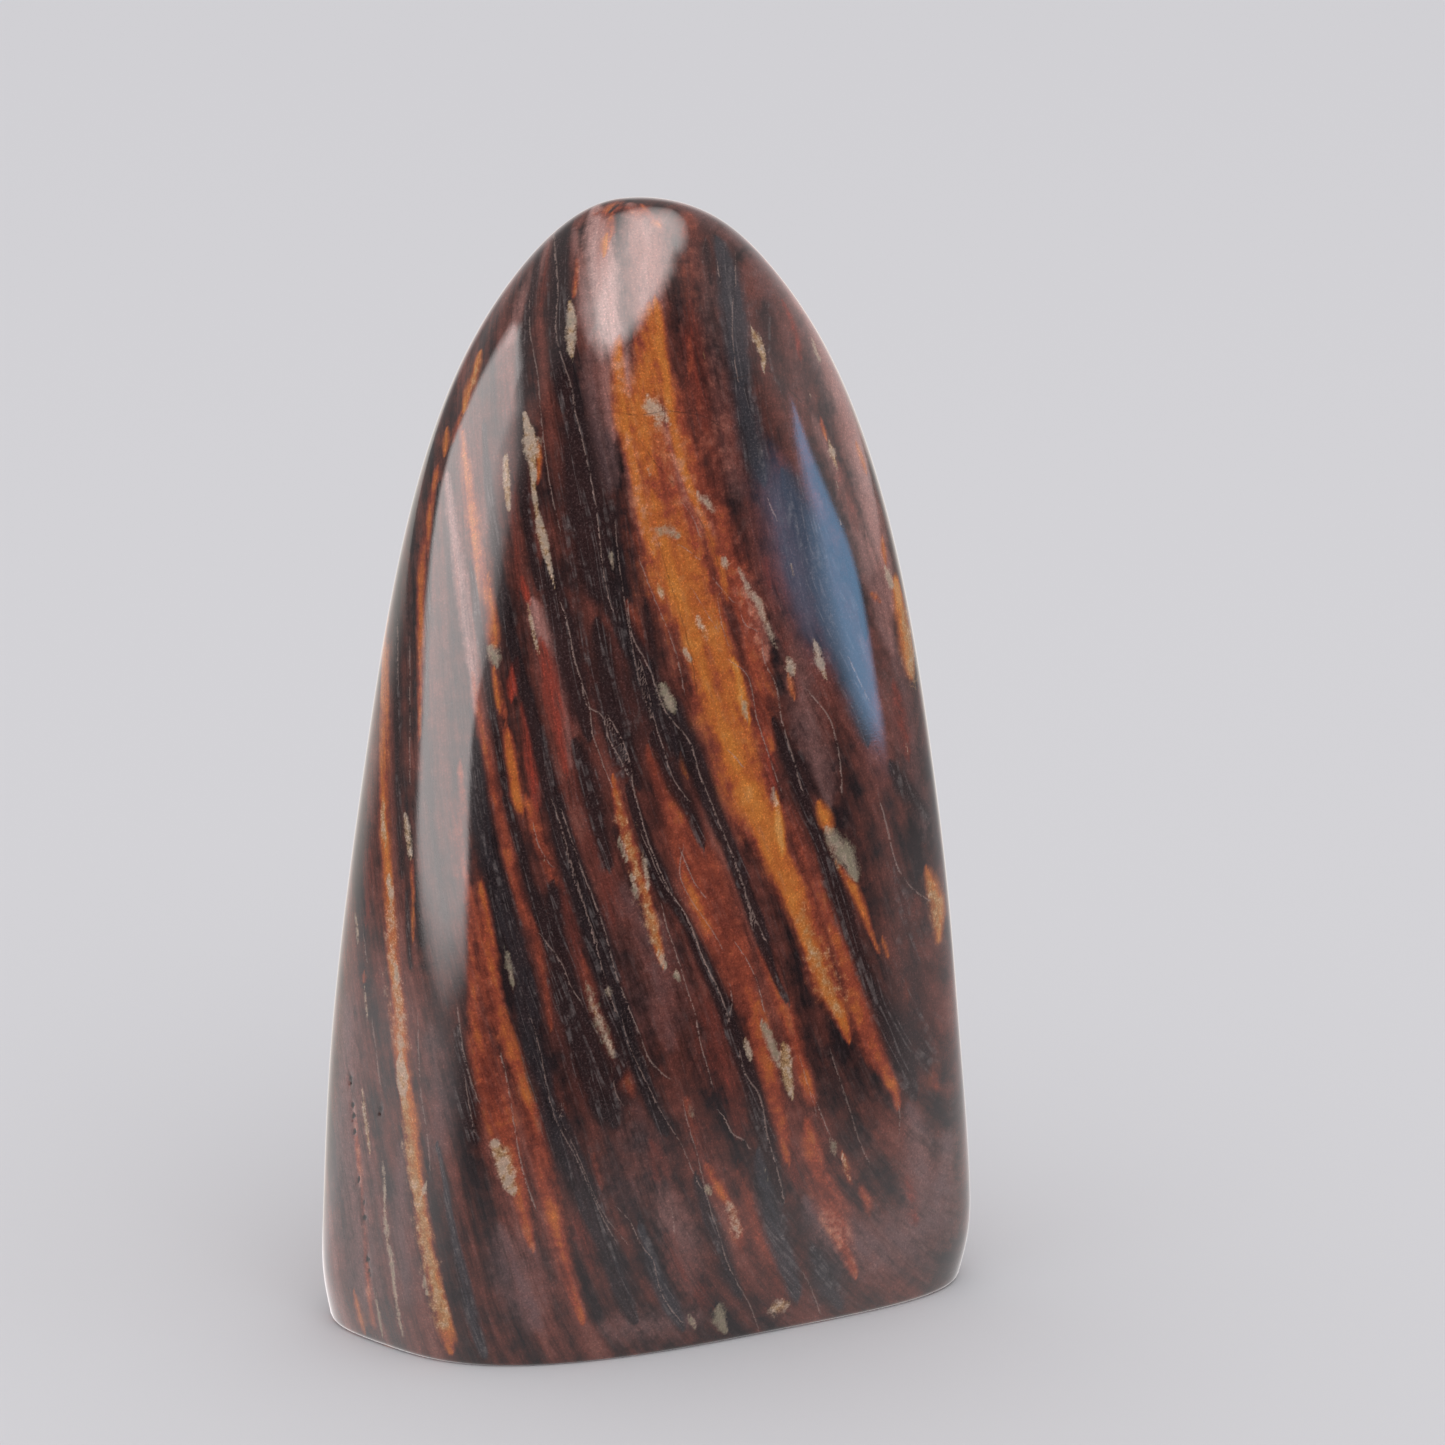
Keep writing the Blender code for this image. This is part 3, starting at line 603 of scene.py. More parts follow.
# A sheet wanders across the bedding and swells: heights in millimetres or shares, and lengths in millimetres,
# first along the bedding and then down it. Each sheet's waves start on from those of the sheet before.
WANDER_HEIGHTS, WANDER_LENGTHS = (0.9, 0.5), (17.0, 9.0)
SWELL_MIDDLE, SWELL_HEIGHT, SWELL_LENGTHS = 0.55, 0.45, (11.0, 14.0)
LONG_SWELL_MIDDLE, LONG_SWELL_HEIGHT, LONG_SWELL_LENGTH = 0.6, 0.5, 31.0
LEAST_SWELL = 0.04
WANDER_SHIFTS, SWELL_SHIFTS, LONG_SWELL_SHIFT = (1.0, 2.3), (1.7, 1.0), 2.9

# Sheets in the stone, which the surface cuts on its hidden side: kind, crispness, shade, the sheet's place
# across the bedding and its half-thickness in millimetres
SHEETS = (
    ("warm", 1.5, 0.75, -24.0, 1.7),
    ("warm", 1.3, 0.30, -20.5, 1.2),
    ("warm", 1.6, 0.85, -13.5, 2.2),
    ("warm", 1.2, 0.20, -8.0, 1.5),
    ("warm", 1.3, 0.45, -2.5, 1.0),
    ("warm", 1.5, 0.70, 5.5, 1.9),
    ("warm", 1.2, 0.25, 10.5, 1.4),
    ("warm", 1.4, 0.60, 20.0, 1.5),
    ("red", 1.0, 0.60, -17.5, 1.2),
    ("red", 1.0, 0.40, 1.5, 1.5),
    ("red", 1.0, 0.80, 14.5, 1.1),
    ("red", 1.0, 0.50, 25.0, 1.5),
    ("dark", 1.3, 0.40, -22.3, 0.9),
    ("dark", 1.3, 0.70, -15.8, 1.1),
    ("dark", 1.4, 0.40, -10.5, 1.3),
    ("dark", 1.3, 0.50, -5.2, 1.0),
    ("dark", 1.4, 0.80, 3.3, 1.0),
    ("dark", 1.3, 0.40, 8.2, 0.9),
    ("dark", 1.4, 0.60, 12.6, 1.0),
    ("dark", 1.3, 0.50, 17.3, 1.3),
    ("dark", 1.2, 0.50, 22.5, 1.0),
    ("wash_and_sheen", 0.8, 0.40, -26.0, 2.5),
    ("wash_and_sheen", 0.7, 0.60, 0.0, 2.5),
    ("wash_and_sheen", 0.8, 0.30, 16.0, 2.5),
    ("wash_and_sheen", 0.8, 0.80, -12.0, 1.6),
)

# Pale lenses that lie in the bedding on the hidden side: how many, their least and greatest half-sizes
# across, along and down the bedding in millimetres, their shades and crispness, and the size and shade of
# their warm rims
LENS_COUNT = 90
LENS_SEED = 11
LENS_HALVES = ((0.3, 0.9), (1.0, 4.5), (1.0, 3.0))
LENS_SHADES = (0.2, 1.0)
LENS_CRISPNESS = 1.2
LENS_RIM = 1.25
LENS_RIM_SHADE = 0.6


def smooth_curve(xs, ys, x):
    """Read a natural cubic curve through the points (xs, ys) at x."""
    xs, ys, x = np.asarray(xs, float), np.asarray(ys, float), np.asarray(x, float)
    step = np.diff(xs)
    slope = np.diff(ys) / step
    system = np.eye(len(xs))
    bend = np.zeros(len(xs))
    for i in range(1, len(xs) - 1):
        system[i, i - 1:i + 2] = step[i - 1], 2 * (step[i - 1] + step[i]), step[i]
        bend[i] = 6 * (slope[i] - slope[i - 1])
    bend = np.linalg.solve(system, bend)
    i = np.clip(np.searchsorted(xs, x) - 1, 0, len(step) - 1)
    along = x - xs[i]
    first = slope[i] - step[i] * (2 * bend[i] + bend[i + 1]) / 6
    third = (bend[i + 1] - bend[i]) / (6 * step[i])
    return ys[i] + along * (first + along * (bend[i] / 2 + along * third))


def smooth_step(low, high, value):
    """0 at low, 1 at high and a smooth change between them, whichever is the larger."""
    share = np.clip((value - low) / (high - low), 0.0, 1.0)
    return share * share * (3 - 2 * share)


def running_length(*coordinates):
    """The length gone at each point along a path."""
    steps = np.linalg.norm(np.diff(coordinates, axis=1), axis=0)
    return np.concatenate([[0.0], np.cumsum(steps)])


# The form


def reaches(height):
    """Reach to the left and to the right at a height, closing in a round top."""
    levels, left, right = np.array(OUTLINE).T
    angles = np.arcsin(levels / HEIGHT)
    angle = np.arcsin(height / HEIGHT)
    return smooth_curve(angles, left, angle), smooth_curve(angles, right, angle)


def section(turns, height, inset=0.0):
    """The level section at a height, as one point for each turn, drawn in by an inset."""
    left, right = reaches(height)
    across, deep = np.cos(turns), np.sin(turns)
    corner = np.where(
        across < 0,
        np.where(deep < 0, FRONT_LEFT, BACK_LEFT),
        np.where(deep < 0, FRONT_RIGHT, BACK_RIGHT),
    )
    square = corner + (AT_THE_TOP - corner) * height / HEIGHT
    half_breadth = np.where(across < 0, left, right)
    half_depth = DEPTH_SHARE * (left + right) / 2
    spread = (np.abs(across) / half_breadth)**square + (np.abs(deep) / half_depth)**square
    reach = spread**(-1 / square) - inset
    x, y = reach * across, reach * deep
    y = y * (1 + WEDGE * x / HALF_BREADTH)
    x = x + END_SLANT * y
    return np.stack([x, y, np.full(len(turns), height)], axis=1)


def column_turns():
    """The turns of the columns, evenly along the base but closer together on the side in the photograph."""
    fine = np.linspace(0.0, 2 * math.pi, FINE_STEPS)
    length = np.linalg.norm(np.diff(section(fine, 0.0), axis=0), axis=1)
    seen = smooth_step(SEEN_FROM, SEEN_FULL, np.cos(fine[:-1] - SEEN_TURN))
    weight = np.concatenate([[0.0], np.cumsum(length * (1 + (FINER_IN_FRONT - 1) * seen))])
    return np.interp(np.arange(AROUND) * weight[-1] / AROUND, weight, fine)


def level_heights():
    """Heights of the levels above the rim, evenly spaced along the surface."""
    angle = np.linspace(math.asin(RIM / HEIGHT), math.pi / 2, FINE_LEVELS)
    height = HEIGHT * np.sin(angle)
    length = running_length(sum(reaches(height)) / 2, height)
    return HEIGHT * np.sin(np.interp(np.linspace(0.0, length[-1], LEVELS), length, angle))[:-1]


def stone_points():
    """Rows of points from the base to just under the top, with the rounded rim first."""
    turns = column_turns()
    rows = []
    for turn in np.linspace(0, math.pi / 2, RIM_STEPS + 1)[:-1]:
        rows.append(section(turns, RIM * (1 - math.cos(turn)), RIM * (1 - math.sin(turn))))
    for height in level_heights():
        rows.append(section(turns, height))
    return np.array(rows)


def stone_mesh():
    """One closed mesh, centred as the solid is: rings of quads, a fan at the top and one across the base."""
    rows = stone_points()
    middle = (rows.min(axis=(0, 1)) + rows.max(axis=(0, 1))) / 2
    middle[2] = 0.0
    low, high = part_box("jasper")
    middle[:2] -= np.array((low + high) / 2)[:2] / MM
    tip = np.array([0.0, 0.0, HEIGHT])
    points = np.concatenate([(rows - middle).reshape(-1, 3), [tip - middle, [0.0, 0.0, 0.0]]])

    count = len(rows)
    top, base = count * AROUND, count * AROUND + 1
    faces = []
    for i in range(AROUND):
        j = (i + 1) % AROUND
        for start in range(0, (count - 1) * AROUND, AROUND):
            faces.append((start + i, start + j, start + AROUND + j, start + AROUND + i))
        faces.append((top - AROUND + i, top - AROUND + j, top))
        faces.append((j, i, base))

    mesh = bpy.data.meshes.new("jasper_stone")
    mesh.from_pydata(points * MM, [], faces)
    mesh.shade_smooth()
    mesh.update()
    return mesh


def read_vectors(collection, name):
    """The vectors of a mesh's vertices or normals, as an array."""
    values = np.empty(3 * len(collection), np.float32)
    collection.foreach_get(name, values)
    return values.reshape(-1, 3).astype(float)


# The camera, and strokes carried onto the stone


def camera_axes():
    """The camera's right, up and back directions."""
    turn, lift = CAMERA_AZIMUTH, CAMERA_ELEVATION
    right = np.array([math.cos(turn), math.sin(turn), 0.0])
    back = np.array([math.sin(turn) * math.cos(lift), -math.cos(turn) * math.cos(lift), math.sin(lift)])
    return right, np.cross(back, right), back


def camera_place():
    """Where the camera stands, in millimetres."""
    return np.array(TARGET) + CAMERA_DISTANCE * camera_axes()[2]


def make_camera():
    """The photograph's camera."""
    lens = bpy.data.cameras.new("camera")
    lens.sensor_width = SENSOR
    lens.lens = FOCAL_PIXELS * SENSOR / PHOTO_SIZE
    lens.clip_start = CLIP_START
    lens.clip_end = CLIP_END
    camera = bpy.data.objects.new("camera", lens)
    camera.matrix_world = Matrix(np.column_stack(camera_axes()).tolist()).to_4x4()
    camera.location = Vector(camera_place() * MM)
    bpy.context.scene.collection.objects.link(camera)
    bpy.context.scene.camera = camera


class Stone:
    """The stone's surface in millimetres, and the rays that carry pixels onto it."""

    def __init__(self, mesh):
        self.points = read_vectors(mesh.vertices, "co") / MM
        self.normals = read_vectors(mesh.vertex_normals, "vector")
        self.faces = [list(face.vertices) for face in mesh.polygons]
        self.tree = BVHTree.FromPolygons([Vector(point) for point in self.points], self.faces)
        self.right, self.up, self.back = camera_axes()
        self.eye = camera_place()

    def cast(self, x, y):
        """Where the ray through a pixel meets the stone: point, normal, face and distance, or nothing."""
        half = PHOTO_SIZE / 2
        ray = (x - half) * self.right - (y - half) * self.up - FOCAL_PIXELS * self.back
        return self.tree.ray_cast(Vector(self.eye), Vector(ray).normalized())

    def hit(self, x, y):
        """The point under a pixel and the normal of the face there, or nothing beside the stone."""
        point, normal, _, _ = self.cast(x, y)
        return (None, None) if point is None else (np.array(point), np.array(normal))

    def mirrored(self, x, y):
        """The point under a pixel, and the direction in which the polish there mirrors the camera's ray."""
        point, _, face, distance = self.cast(x, y)
        corners = self.faces[face]
        shares = poly_3d_calc([Vector(self.points[corner]) for corner in corners], point)
        normal = np.array(shares) @ self.normals[corners]
        normal /= np.linalg.norm(normal)
        ray = (np.array(point) - self.eye) / distance
        return np.array(point), ray - 2 * (ray @ normal) * normal

    def nearest_hit(self, x, y):
        """As hit, but a pixel just beside the stone moves in to the outline."""
        point, normal = self.hit(x, y)
        while point is None:
            x += math.copysign(1.0, STONE_X - x)
            y += 0.0 if TOP_Y < y < BASE_Y else math.copysign(1.0, STONE_Y - y)
            point, normal = self.hit(x, y)
        return point, normal

    def lay(self, marks, spacing):
        """Points on the stone along a smooth line through a stroke's pixels, with half-widths and normals.

        The half-widths taper towards both ends.
        """
        marks = np.array(marks, float)
        gone = running_length(*marks[:, :2].T)
        along = np.linspace(0.0, gone[-1], max(2, int(gone[-1] / spacing) + 1))
        x = smooth_curve(gone, marks[:, 0], along)
        y = smooth_curve(gone, marks[:, 1], along)
        wide = np.interp(along, gone, marks[:, 2])
        wide *= np.clip(BLUNT_END + np.minimum(along, gone[-1] - along) / (END_TAPER * wide), 0.0, 1.0)
        course = np.hypot(np.gradient(x), np.gradient(y))
        side_x, side_y = -np.gradient(y) / course, np.gradient(x) / course
        centre, widths, normals = [], [], []
        for i in range(len(along)):
            point, normal = self.nearest_hit(x[i], y[i])
            spans = []
            for side in (-wide[i], wide[i]):
                edge, _ = self.hit(x[i] + side * side_x[i], y[i] + side * side_y[i])
                if edge is not None:
                    spans.append(np.linalg.norm(edge - point))
            centre.append(point)
            normals.append(normal)
            widths.append(min(spans) if spans else wide[i] * OUTLINE_PIXEL)
        return np.array(centre), np.array(widths), np.array(normals)

    def near(self, centre, reach):
        """The vertices in the box round a line's points, widened by a reach."""
        low, high = centre.min(axis=0) - reach, centre.max(axis=0) + reach
        return np.flatnonzero(np.all((self.points > low) & (self.points < high), axis=1))


def along_line(points, start, end):
    """How far along a straight run each point lies, from 0 to 1, and its offset from the nearest place."""
    run = end - start
    share = np.clip((points - start) @ run / max(run @ run, TINY), 0.0, 1.0)
    return share, points - start - share[:, None] * run


class Field:
    """How deep each vertex lies in one kind of stroke, and the shade of the strokes round it."""

    OUTSIDE = -1.0

    # Shades mix with weights that grow by this power of the depth, from a faint middle shade
    MIXING = 5.0
    FAINT = 1e-3
    MIDDLE_SHADE = 0.5

    def __init__(self, count):
        self.depth = np.full(count, self.OUTSIDE)
        self.shades = np.full(count, self.MIDDLE_SHADE * self.FAINT)
        self.weights = np.full(count, self.FAINT)

    def add(self, where, depth, shade):
        """Lay something over some of the vertices, at a depth for each."""
        depth = np.maximum(depth, self.OUTSIDE)
        self.depth[where] = np.maximum(self.depth[where], depth)
        weight = np.exp(self.MIXING * depth)
        self.weights[where] += weight
        self.shades[where] += weight * shade

    def add_stroke(self, stone, crispness, shade, marks):
        """Add a stroke: its crispness along the middle, 0 at its edge and less beyond."""
        centre, widths, _ = stone.lay(marks, STROKE_STEP)
        where = stone.near(centre, widths.max() * (1 + 1 / crispness))
        depth = np.full(len(where), self.OUTSIDE)
        for i in range(len(centre) - 1):
            share, offset = along_line(stone.points[where], centre[i], centre[i + 1])
            width = np.maximum(widths[i] + share * (widths[i + 1] - widths[i]), THINNEST)
            depth = np.maximum(depth, crispness * (1 - np.linalg.norm(offset, axis=1) / width))
        self.add(where, depth, shade)

    def values(self):
        """The depths and shades, as a vector for each vertex."""
        return vectors(self.depth, self.shades / self.weights)


def vectors(first, second):
    """Two numbers for each vertex, as vectors."""
    return np.stack([first, second, np.zeros(len(first))], axis=1)


def hair_lines(stone, lines):
    """For thin lines: the distance to one side of the nearest line in half-widths, and its strength.

    The distance changes sign across a line, so it stays thin between vertices that stand further apart.
    """
    count = len(stone.points)
    nearest = np.full(count, np.inf)
    side = np.full(count, FAR_SIDE)
    strength = np.zeros(count)
    for half_width, power, *pixels in lines:
        centre, widths, normals = stone.lay([(x, y, half_width) for x, y in pixels], LINE_STEP)
        where = stone.near(centre, LINE_REACH)
        for i in range(len(centre) - 1):
            _, offset = along_line(stone.points[where], centre[i], centre[i + 1])
            distance = np.linalg.norm(offset, axis=1)
            closer = distance < nearest[where]
            chosen = where[closer]
            leftward = np.cross(normals[i], centre[i + 1] - centre[i])
            nearest[chosen] = distance[closer]
            side[chosen] = (distance * np.sign(offset @ leftward) / max(widths[i], THINNEST_LINE))[closer]
            strength[chosen] = power
    fading = np.interp(nearest, LINE_FADE, (1.0, 0.0))
    return vectors(side, strength * fading)


# The bedding and the hidden side


def wave(place, length, start):
    """A wave along a line, from -1 to 1, with its length as the run for one radian."""
    return np.sin(place / length + start)


def bedding(points):
    """Each point's place across the bedding and along it, in millimetres."""
    normal = np.array(BEDDING_NORMAL) / np.linalg.norm(BEDDING_NORMAL)
    dip = np.cross(normal, (0.0, 0.0, 1.0))
    dip /= np.linalg.norm(dip)
    along, deep = points @ np.cross(dip, normal), points @ dip
    across = points @ normal + LONG_WAVE * wave(along, LONG_LENGTH, LONG_START)
    across += SHORT_WAVE * wave(along, SHORT_LENGTH, deep / SHORT_DEEP_LENGTH)
    return np.stack([across, along, deep], axis=1)


def hidden_share(stone):
    """0 on the side in the photograph, rising to 1 round its outline."""
    view = stone.eye - stone.points
    view /= np.linalg.norm(view, axis=1)[:, None]
    return smooth_step(HIDDEN_FROM, HIDDEN_FULL, np.sum(view * stone.normals, axis=1))


def sheet_form(along, deep, number):
    """How far a sheet has wandered at each place, and the share of its thickness that it has there."""
    wander = WANDER_HEIGHTS[0] * wave(along, WANDER_LENGTHS[0], WANDER_SHIFTS[0] * number)
    wander += WANDER_HEIGHTS[1] * wave(deep, WANDER_LENGTHS[1], WANDER_SHIFTS[1] * number)
    swell = wave(along, SWELL_LENGTHS[0], SWELL_SHIFTS[0] * number)
    swell *= wave(deep, SWELL_LENGTHS[1], SWELL_SHIFTS[1] * number + math.pi / 2)
    long_swell = wave(along, LONG_SWELL_LENGTH, LONG_SWELL_SHIFT * number)
    share = (SWELL_MIDDLE + SWELL_HEIGHT * swell) * (LONG_SWELL_MIDDLE + LONG_SWELL_HEIGHT * long_swell)
    return wander, np.maximum(share, LEAST_SWELL)


def add_sheets(fields, beds, hidden):
    """Sheets that wander, swell and thin out along the bedding, where the surface cuts the hidden side."""
    where = np.flatnonzero(hidden > HIDDEN_LEAST)
    across, along, deep = beds[where].T
    fade = HIDDEN_FADE * (1 - hidden[where])
    for number, (kind, crispness, shade, place, thickness) in enumerate(SHEETS):
        wander, share = sheet_form(along, deep, number)
        depth = crispness * (1 - np.abs(across - place - wander) / (thickness * share))
        fields[kind].add(where, np.maximum(depth, Field.OUTSIDE) - fade, shade)


def add_lenses(fields, beds, hidden):
    """Small pale lenses along the bedding, each with a warm rim."""
    random = np.random.default_rng(LENS_SEED)
    where = np.flatnonzero(hidden > HIDDEN_LEAST)
    fade = HIDDEN_FADE * (1 - hidden[where])
    for spot in beds[random.choice(where, LENS_COUNT, replace=False)]:
        half = np.array([random.uniform(*halves) for halves in LENS_HALVES])
        shade = random.uniform(*LENS_SHADES)
        away = np.linalg.norm((beds[where] - spot) / half, axis=1)
        fields["pale"].add(where, LENS_CRISPNESS * (1 - away) - fade, shade)
        fields["warm"].add(where, LENS_RIM - away - fade, LENS_RIM_SHADE)


def pit_depths(stone):
    """How deep each vertex lies in a pit, from 0 to 1."""
    pitted = np.zeros(len(stone.points))
    for x, y, half_length in PITS:
        centre, _ = stone.hit(x, y)
        upper, _ = stone.hit(x, y - half_length)
        offset = stone.points - centre
        along = offset @ stone.up
        distance = np.sqrt(np.sum(offset**2, axis=1) - along**2)
        away = np.hypot(along / np.linalg.norm(upper - centre), distance / PIT_HALF_WIDTH)
        pitted = np.maximum(pitted, np.clip(PIT_SPREAD - away, 0.0, 1.0))
    return pitted


# The stone's material

# Patterns drawn out along the bedding: features per millimetre across it and along it, detail, roughness
BEDDED_PATTERNS = {
    "fine": (4.2, 0.40, 2.0, 0.6),
    "fibre": (1.1, 0.09, 2.0, 0.5),
    "band": (0.45, 0.03, 2.0, 0.5),
    "strand": (1.15, 0.055, 2.0, 0.6),
}

# Patterns that are alike all ways: features per metre, detail, roughness
EVEN_PATTERNS = {
    "blotch": (350.0, 2.0, 0.6),
    "mottle": (1100.0, 2.0, 0.6),
    "grain": (5200.0, 1.0, 0.7),
}

GROUND_TONE = 0.475
GROUND_COLOURS = (
    (0.10, (0.020, 0.012, 0.013)),
    (0.32, (0.046, 0.019, 0.017)),
    (0.52, (0.085, 0.028, 0.022)),
    (0.75, (0.135, 0.041, 0.031)),
    (1.00, (0.190, 0.068, 0.052)),
)

# A kind of band: the patterns that fray its edge, the depths where it begins and is full, how much it hides
# of what lies under it, the patterns that stir its shade, and the colours along its shades
Band = namedtuple("Band", "edge begins full hides stir colours")

WASH_AND_SHEEN_BAND = Band(
    edge={"fibre": 1.0, "mottle": 0.8, "fine": 0.25},
    begins=-0.3,
    full=1.2,
    hides=0.8,
    stir={"fibre": 0.6},
    colours=(
        # Shade 0 is pale enough to paint the soft window reflection at the top, as well as pink stone
        (0.0, (0.50, 0.290, 0.260)),
        (0.15, (0.36, 0.165, 0.140)),
        (0.5, (0.150, 0.084, 0.082)),
        (1.0, (0.042, 0.040, 0.056)),
    ),
)
RED_BAND = Band(
    edge={"fibre": 1.2, "mottle": 1.0, "fine": 0.3},
    begins=-0.2,
    full=1.0,
    hides=0.9,
    stir={"fine": 1.2},
    colours=(
        (0.0, (0.070, 0.022, 0.018)),
        (0.5, (0.15, 0.034, 0.024)),
        (1.0, (0.32, 0.045, 0.026)),
    ),
)
WARM_BAND = Band(
    edge={"fibre": 1.1, "mottle": 0.5, "fine": 0.275},
    begins=-0.35,
    full=0.90,
    hides=0.95,
    stir={"fibre": 0.6, "blotch": 0.7, "mottle": 0.4},
    colours=(
        (0.0, (0.148, 0.034, 0.022)),
        (0.22, (0.275, 0.058, 0.030)),
        (0.48, (0.430, 0.118, 0.028)),
        (0.75, (0.510, 0.175, 0.034)),
        (1.0, (0.560, 0.250, 0.070)),
    ),
)
DARK_BAND = Band(
    edge={"fibre": 1.6, "mottle": 0.6, "fine": 0.4},
    begins=-0.45,
    full=0.60,
    hides=0.92,
    stir={"fine": 0.5},
    colours=(
        (0.0, (0.028, 0.012, 0.012)),
        (0.5, (0.019, 0.012, 0.013)),
        (1.0, (0.040, 0.038, 0.044)),
    ),
)
PALE_BAND = Band(
    edge={"fibre": 1.4, "mottle": 2.0, "fine": 0.35, "grain": 0.8},
    begins=-0.1,
    full=1.0,
    hides=0.8,
    stir={"mottle": 1.6, "grain": 0.5},
    colours=(
        (0.0, (0.29, 0.155, 0.060)),
        (0.35, (0.41, 0.26, 0.13)),
        (0.6, (0.47, 0.35, 0.26)),
        (0.85, (0.38, 0.30, 0.22)),
        (1.0, (0.26, 0.22, 0.15)),
    ),
)

# The depths between which a warm band turns from its edge to its heart, the share of its shade that it has
# at the edge, and what the heart adds
WARM_HEART = (0.1, 1.3)
WARM_EDGE_SHARE, WARM_HEART_ADDS = 0.55, 0.5

# Pink mottling in the warm bands: where it begins and is full, and its share alone and where the washes and
# painted sheen cross
BLOOM_COLOUR = (0.52, 0.25, 0.18, 1.0)
BLOOM_STEP = (0.46, 0.62)
BLOOM_ALONE, BLOOM_WASHED = 0.03, 0.45

# Grey dust in the dark bands
DUST_COLOUR = (0.130, 0.105, 0.105, 1.0)
DUST_STEP = (0.48, 0.80)
DUST_SHARE = 0.18

# Thin dark threads, and how much fainter they are over the warm bands
THREAD_TINT = (0.35, 0.30, 0.30, 1.0)
THREAD_STEP = (0.50, 0.36)
THREAD_SHARE, THREAD_FAINTER = 0.35, 0.22

# Thin grey strands, and how much stronger they are in the dark bands
STRAND_COLOUR = (0.20, 0.17, 0.165, 1.0)
STRAND_STEP = (0.04, 0.004)
STRAND_BREAKS = (0.35, 0.65)
STRAND_SHARE, STRAND_STRONGER = 0.08, 0.26

# Hair lines: from edge to full in half-widths, and the pattern's values between which they break
VEIN_COLOUR, VEIN_SHARE = (0.30, 0.21, 0.18, 1.0), 0.65
CRACK_COLOUR, CRACK_SHARE = (0.030, 0.016, 0.014, 1.0), 0.7
LINE_EDGE = (1.0, 0.1)
LINE_BREAKS = (0.30, 0.56)

# Crystal grain: lighter and darker specks
SPECK_SHARE = 0.5
LIGHT_TINT, LIGHT_STEP = (2.4, 2.2, 2.1, 1.0), (0.52, 0.80)
SHADOW_TINT, SHADOW_STEP = (0.45, 0.42, 0.42, 1.0), (0.48, 0.25)

# The pits are painted near black: painted shade in their small hollows
PIT_SHADE_COLOUR = (0.012, 0.008, 0.008, 1.0)
PIT_STEP = (0.15, 0.5)

# The polish: its roughness, and what the pale lenses and the grain add to it
ROUGHNESS, PALE_ROUGHNESS, GRAIN_ROUGHNESS = 0.03, 0.12, 0.08
REFRACTION = 1.54
RELIEF_STRENGTH, RELIEF_HEIGHT = 0.12, 0.00002


class Graph:
    """Adds nodes to a material and joins them, so that a recipe reads as steps."""

    def __init__(self, tree):
        self.tree = tree

    def add(self, kind, *inputs, **settings):
        node = self.tree.nodes.new(kind)
        for name, value in settings.items():
            setattr(node, name, value)
        for socket, value in zip(node.inputs, inputs):
            if isinstance(value, bpy.types.NodeSocket):
                self.tree.links.new(value, socket)
            elif value is not None:
                socket.default_value = value
        return node

    def math(self, operation, *inputs):
        return self.add("ShaderNodeMath", *inputs, operation=operation).outputs[0]

    def product(self, first, *others):
        for other in others:
            first = self.math("MULTIPLY", first, other)
        return first

    def scaled(self, value, factor, offset=0.0):
        return self.math("MULTIPLY_ADD", value, factor, offset)

    def step(self, value, low, high):
        """0 at low, 1 at high and smooth between them, whichever is the larger."""
        node = self.add("ShaderNodeMapRange", value, low, high, 0.0, 1.0, interpolation_type="SMOOTHSTEP")
        return node.outputs[0]

    def mix(self, share, under, over):
        return self.add("ShaderNodeMixRGB", share, under, over).outputs[0]

    def tint(self, share, under, over):
        return self.add("ShaderNodeMixRGB", share, under, over, blend_type="MULTIPLY").outputs[0]

    def ramp(self, value, stops):
        """Colours along a ramp: each stop is its place and its colour."""
        node = self.add("ShaderNodeValToRGB", value)
        elements = node.color_ramp.elements
        while len(elements) < len(stops):
            elements.new(0.5)
        for element, (place, colour) in zip(elements, stops):
            element.position = place
            element.color = (*colour, 1.0)
        return node.outputs[0]

    def noise(self, vector, stretch, detail, roughness):
        """Noise with its own scale along each axis, in features for each unit of the vector."""
        scaled = self.add("ShaderNodeVectorMath", vector, stretch, operation="MULTIPLY").outputs[0]
        return self.add("ShaderNodeTexNoise", scaled, None, 1.0, detail, roughness).outputs[0]

    def pair(self, name):
        """The first two numbers of a vector attribute."""
        vector = self.add("ShaderNodeAttribute", attribute_name=name).outputs["Vector"]
        parts = self.add("ShaderNodeSeparateXYZ", vector)
        return parts.outputs[0], parts.outputs[1]


class StoneGraph(Graph):
    """A graph with the noise patterns that the layers of the stone share."""

    def __init__(self, tree):
        super().__init__(tree)
        beds = self.add("ShaderNodeAttribute", attribute_name="bedding").outputs["Vector"]
        place = self.add("ShaderNodeTexCoord").outputs["Object"]
        self.patterns = {}
        for name, (across, along, detail, roughness) in BEDDED_PATTERNS.items():
            self.patterns[name] = self.noise(beds, (across, along, along), detail, roughness)
        for name, (scale, detail, roughness) in EVEN_PATTERNS.items():
            self.patterns[name] = self.noise(place, (scale, scale, scale), detail, roughness)

    def stirred(self, value, **amounts):
        """A value with patterns added, each by its amount and centred on 0."""
        for name, amount in amounts.items():
            value = self.math("ADD", value, self.scaled(self.patterns[name], amount, -amount / 2))
        return value


def ground_colour(graph):
    """The maroon ground: bands from brown-black to red-brown, with fibres."""
    tone = graph.stirred(GROUND_TONE, band=1.7, fibre=0.8, fine=0.25, blotch=1.0, mottle=0.3)
    return graph.ramp(tone, GROUND_COLOURS)


def read_band(graph, kind, band):
    """A kind of band: how far it covers each place, its frayed depth and its shade."""
    depth, shade = graph.pair(kind)
    frayed = graph.stirred(depth, **band.edge)
    return graph.step(frayed, band.begins, band.full), frayed, shade


